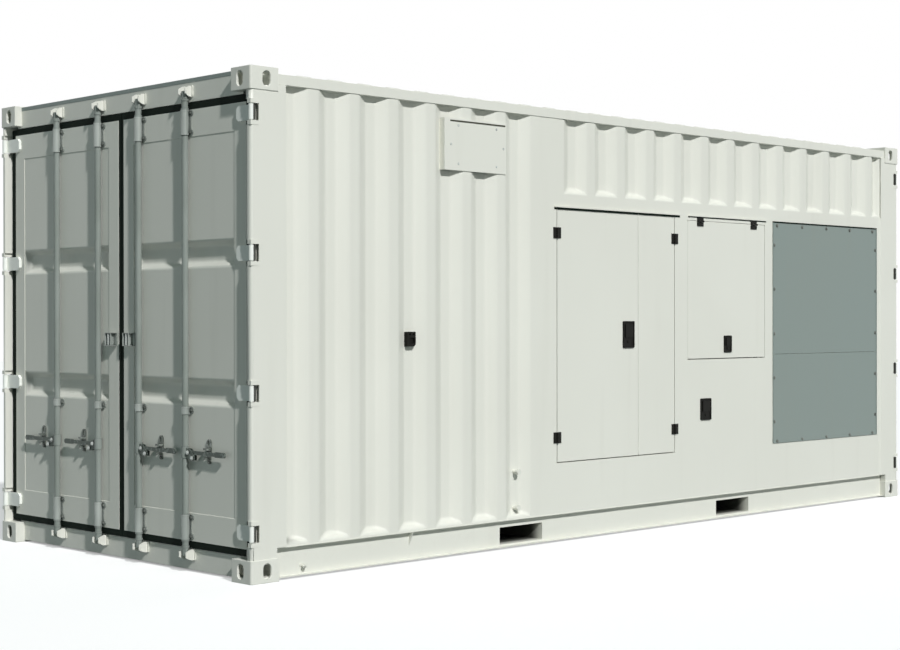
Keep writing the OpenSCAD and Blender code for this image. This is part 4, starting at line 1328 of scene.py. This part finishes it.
@dataclass
class RolledSheets(Fixings):
    """Pressed sheets and members with rounded bends and edges, in place of their sharp CAD nodes."""

    bends: tuple[Bend, ...] = (
        Bend(0.012, ("corrugated_walls", "upper_wall_bands"), whole_faces=True),
        Bend(0.009, ("left_cargo_leaf", "right_cargo_leaf", "far_end_doors")),
        Bend(0.005, ("roof_panel",), whole_faces=True),
        Bend(
            0.0025,
            ("end_headers", "end_sills", "top_side_rails", "bottom_corner_fittings", "top_corner_fittings"),
            least=62.0, most=120.0, steps=2, ending="softened"),
        Bend(
            0.016, ("corner_posts",), least=60.0, most=120.0, steps=4, whole_faces=True,
            corner=(3.024, 1.214)),
    )
    near_corner: float = 0.0006
    upright: float = 0.0001
    doubles: float = 0.00005
    flat_deg: float = 0.5
    skew_deg: float = 60.0
    smooth_deg: float = 35.0
    flat_weight: int = 100

    def build(self) -> None:
        """Round each node's copy and let it stand for the node."""
        for bend in self.bends:
            for node in bend.nodes:
                piece = self.copy(node, bend)
                self.roll(piece, bend)
                self.seat(piece, self.dress.bodies[node], Slot.WHITE)
                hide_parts(node)

    def copy(self, node: str, bend: Bend) -> Piece:
        """Copy a CAD node with its own mesh, its doubles merged and its triangles joined.

        Args:
            node: the CAD node's name.
            bend: says if each flat becomes one face, which suits a shape with no hole in a flat.

        Returns:
            The copy.
        """
        select(self.dress.frame["nodes"][node])
        bpy.ops.object.duplicate(linked=False)
        piece = bpy.context.object
        piece.name = f"{node}_{bend.ending}"
        flat = math.radians(self.flat_deg)
        with editing(piece):
            bpy.ops.mesh.select_all(action="SELECT")
            bpy.ops.mesh.remove_doubles(threshold=self.doubles)
            if bend.whole_faces:
                bpy.ops.mesh.dissolve_limited(angle_limit=flat)
            else:
                bpy.ops.mesh.tris_convert_to_quads(
                    face_threshold=flat, shape_threshold=math.radians(self.skew_deg))
        return piece

    def roll(self, piece: Piece, bend: Bend) -> None:
        """Round the edges whose faces meet within the bend's range of angles.

        Args:
            piece: the sheet or member.
            bend: how its edges are rounded.
        """
        with editing(piece, "EDGE"):
            mesh = bmesh.from_edit_mesh(piece.data)
            for edge in mesh.edges:
                angle = math.degrees(edge.calc_face_angle(0.0))
                wanted = bend.corner is None or self.runs_down(edge, bend.corner)
                edge.select_set(bend.least < angle < bend.most and wanted)
            bmesh.update_edit_mesh(piece.data)
            bpy.ops.mesh.bevel(offset=bend.size, segments=bend.steps, affect="EDGES", clamp_overlap=False)
        smooth(piece, self.smooth_deg)
        flats = piece.modifiers.new("flats", "WEIGHTED_NORMAL")
        flats.keep_sharp = True
        flats.weight = self.flat_weight
        bpy.ops.object.modifier_apply(modifier=flats.name)

    def runs_down(self, edge: bmesh.types.BMEdge, corner: Pair) -> bool:
        """Tell whether an edge runs down a corner.

        Args:
            edge: the edge.
            corner: the corner's distances from the middle along X and Y.

        Returns:
            True if it does.
        """
        start, end = (vertex.co for vertex in edge.verts)
        near = all(abs(abs(place[index]) - corner[index]) < self.near_corner
                   for place in (start, end) for index in (0, 1))
        return near and abs(start.x - end.x) < self.upright


# ---------- light, floor and camera ----------


@dataclass(frozen=True)
class Lamp:
    """A far, broad lamp whose light comes from one direction."""

    name: str
    place: Point
    way: Point
    level: float
    blur_deg: float
    tint: Rgb = (255, 255, 255)

    def build(self) -> None:
        """Add the lamp."""
        bpy.ops.object.light_add(type="SUN", location=self.place)
        lamp = bpy.context.object
        lamp.name = self.name
        lamp.data.energy = self.level * math.pi
        lamp.data.color = linear(self.tint)[:3]
        lamp.data.angle = math.radians(self.blur_deg)
        lamp.rotation_euler = Vector(self.way).to_track_quat("-Z", "Y").to_euler()


KEY_LAMP = Lamp("key_lamp", (-6, -12, 9), (0.23, 0.78, -0.62), 0.97, 2.5)
FILL_LAMP = Lamp("fill_lamp", (0, -14, 2), (0.0, 0.97, 0.24), 0.15, 60.0, (255, 243, 232))


@dataclass
class Stage:
    """Pale floor, white sky, the key lamp that grazes the doors, the weak fill lamp and the camera."""

    sky_level: float = 0.15
    sky_tint: Rgb = (216, 255, 253)
    floor_half: float = 40.0
    floor_glow: float = 0.52
    floor_seen: Rgba = (0.62, 0.62, 0.62, 1.0)
    floor_lit: Rgba = (0.17, 0.2, 0.2, 1.0)
    white: Rgba = (1.0, 1.0, 1.0, 1.0)
    # painted shadow: the floor's glow fades out inside these half sizes, over this width
    under_half: Pair = (2.98, 1.18)
    under_fade: float = 0.12
    lens: float = 67.7
    sensor: float = 36.0
    far_clip: float = 200.0
    eye: Point = (-8.1942, -7.9329, 1.3247)
    yaw: float = 0.797886
    pitch: float = -0.003586
    roll: float = -0.001213

    def build(self) -> None:
        """Make the whole stage."""
        self.floor()
        self.sky()
        KEY_LAMP.build()
        FILL_LAMP.build()
        self.camera()

    def floor(self) -> None:
        """Lay a pale floor that looks near white, keeps the object's shadow and has a painted shadow under
        it.
        """
        bpy.ops.mesh.primitive_plane_add(size=2 * self.floor_half, location=(0, 0, 0))
        plane = bpy.context.object
        plane.name = "studio_floor"
        material = bpy.data.materials.new("pale_floor")
        material.use_nodes = True
        nodes = Nodes(material.node_tree)
        glow = nodes.add("Emission", self.white, self.daylight(nodes)).outputs[0]
        pale = nodes.add("BsdfDiffuse", self.floor_seen).outputs[0]
        seen = nodes.add("AddShader", pale, glow).outputs[0]
        lit = nodes.add("BsdfDiffuse", self.floor_lit).outputs[0]
        nodes.add("OutputMaterial", nodes.seen_or_lit(seen, lit))
        clad(plane, material)

    def daylight(self, nodes: Nodes) -> Socket:
        """Work out the floor's glow, which fades away under the object as a painted shadow.

        Args:
            nodes: the floor's node tree.

        Returns:
            The value socket.
        """
        under: object = 1.0
        for index, half in enumerate(self.under_half):
            inside = nodes.ramp(nodes.off(index), half - self.under_fade, half, 1.0, 0.0)
            under = nodes.math("MULTIPLY", under, inside)
        return nodes.math("MULTIPLY", nodes.math("SUBTRACT", 1.0, under), self.floor_glow)

    def sky(self) -> None:
        """Make the world white to look at and weak as a light."""
        world = bpy.data.worlds.new("studio")
        bpy.context.scene.world = world
        world.use_nodes = True
        nodes = Nodes(world.node_tree)
        lit = nodes.add("Background", linear(self.sky_tint), self.sky_level).outputs[0]
        seen = nodes.add("Background", self.white, 1.0).outputs[0]
        nodes.add("OutputWorld", nodes.seen_or_lit(seen, lit))

    def camera(self) -> None:
        """Set the camera from its place, directions and lens."""
        bpy.ops.object.camera_add()
        camera = bpy.context.object
        camera.name = "view_camera"
        camera.data.lens = self.lens
        camera.data.sensor_width = self.sensor
        camera.data.clip_end = self.far_clip
        aim = Matrix.Rotation(self.yaw - math.pi / 2, 4, "Z")
        tilt = Matrix.Rotation(math.pi / 2 + self.pitch, 4, "X") @ Matrix.Rotation(self.roll, 4, "Z")
        camera.matrix_world = Matrix.Translation(self.eye) @ aim @ tilt
        bpy.context.scene.camera = camera


def main() -> None:
    """Build the stage, dress the nodes and add the pieces, in order."""
    logging.basicConfig(level=logging.INFO, format="%(name)s: %(message)s")
    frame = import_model()
    bpy.context.scene.view_settings.view_transform = "Standard"
    Stage().build()
    dress = Dress(frame)
    LOG.info("dressed %d nodes", dress.dress_nodes())
    for fixings in (
        RolledSheets, AirPanelFixings, RainStrips, EdgeLips, EndStrips, PostFillets, LeafWelds,
        LockGearFixings, VentDetails,
    ):
        fixings(dress).build()


if __name__ == "__main__":
    main()
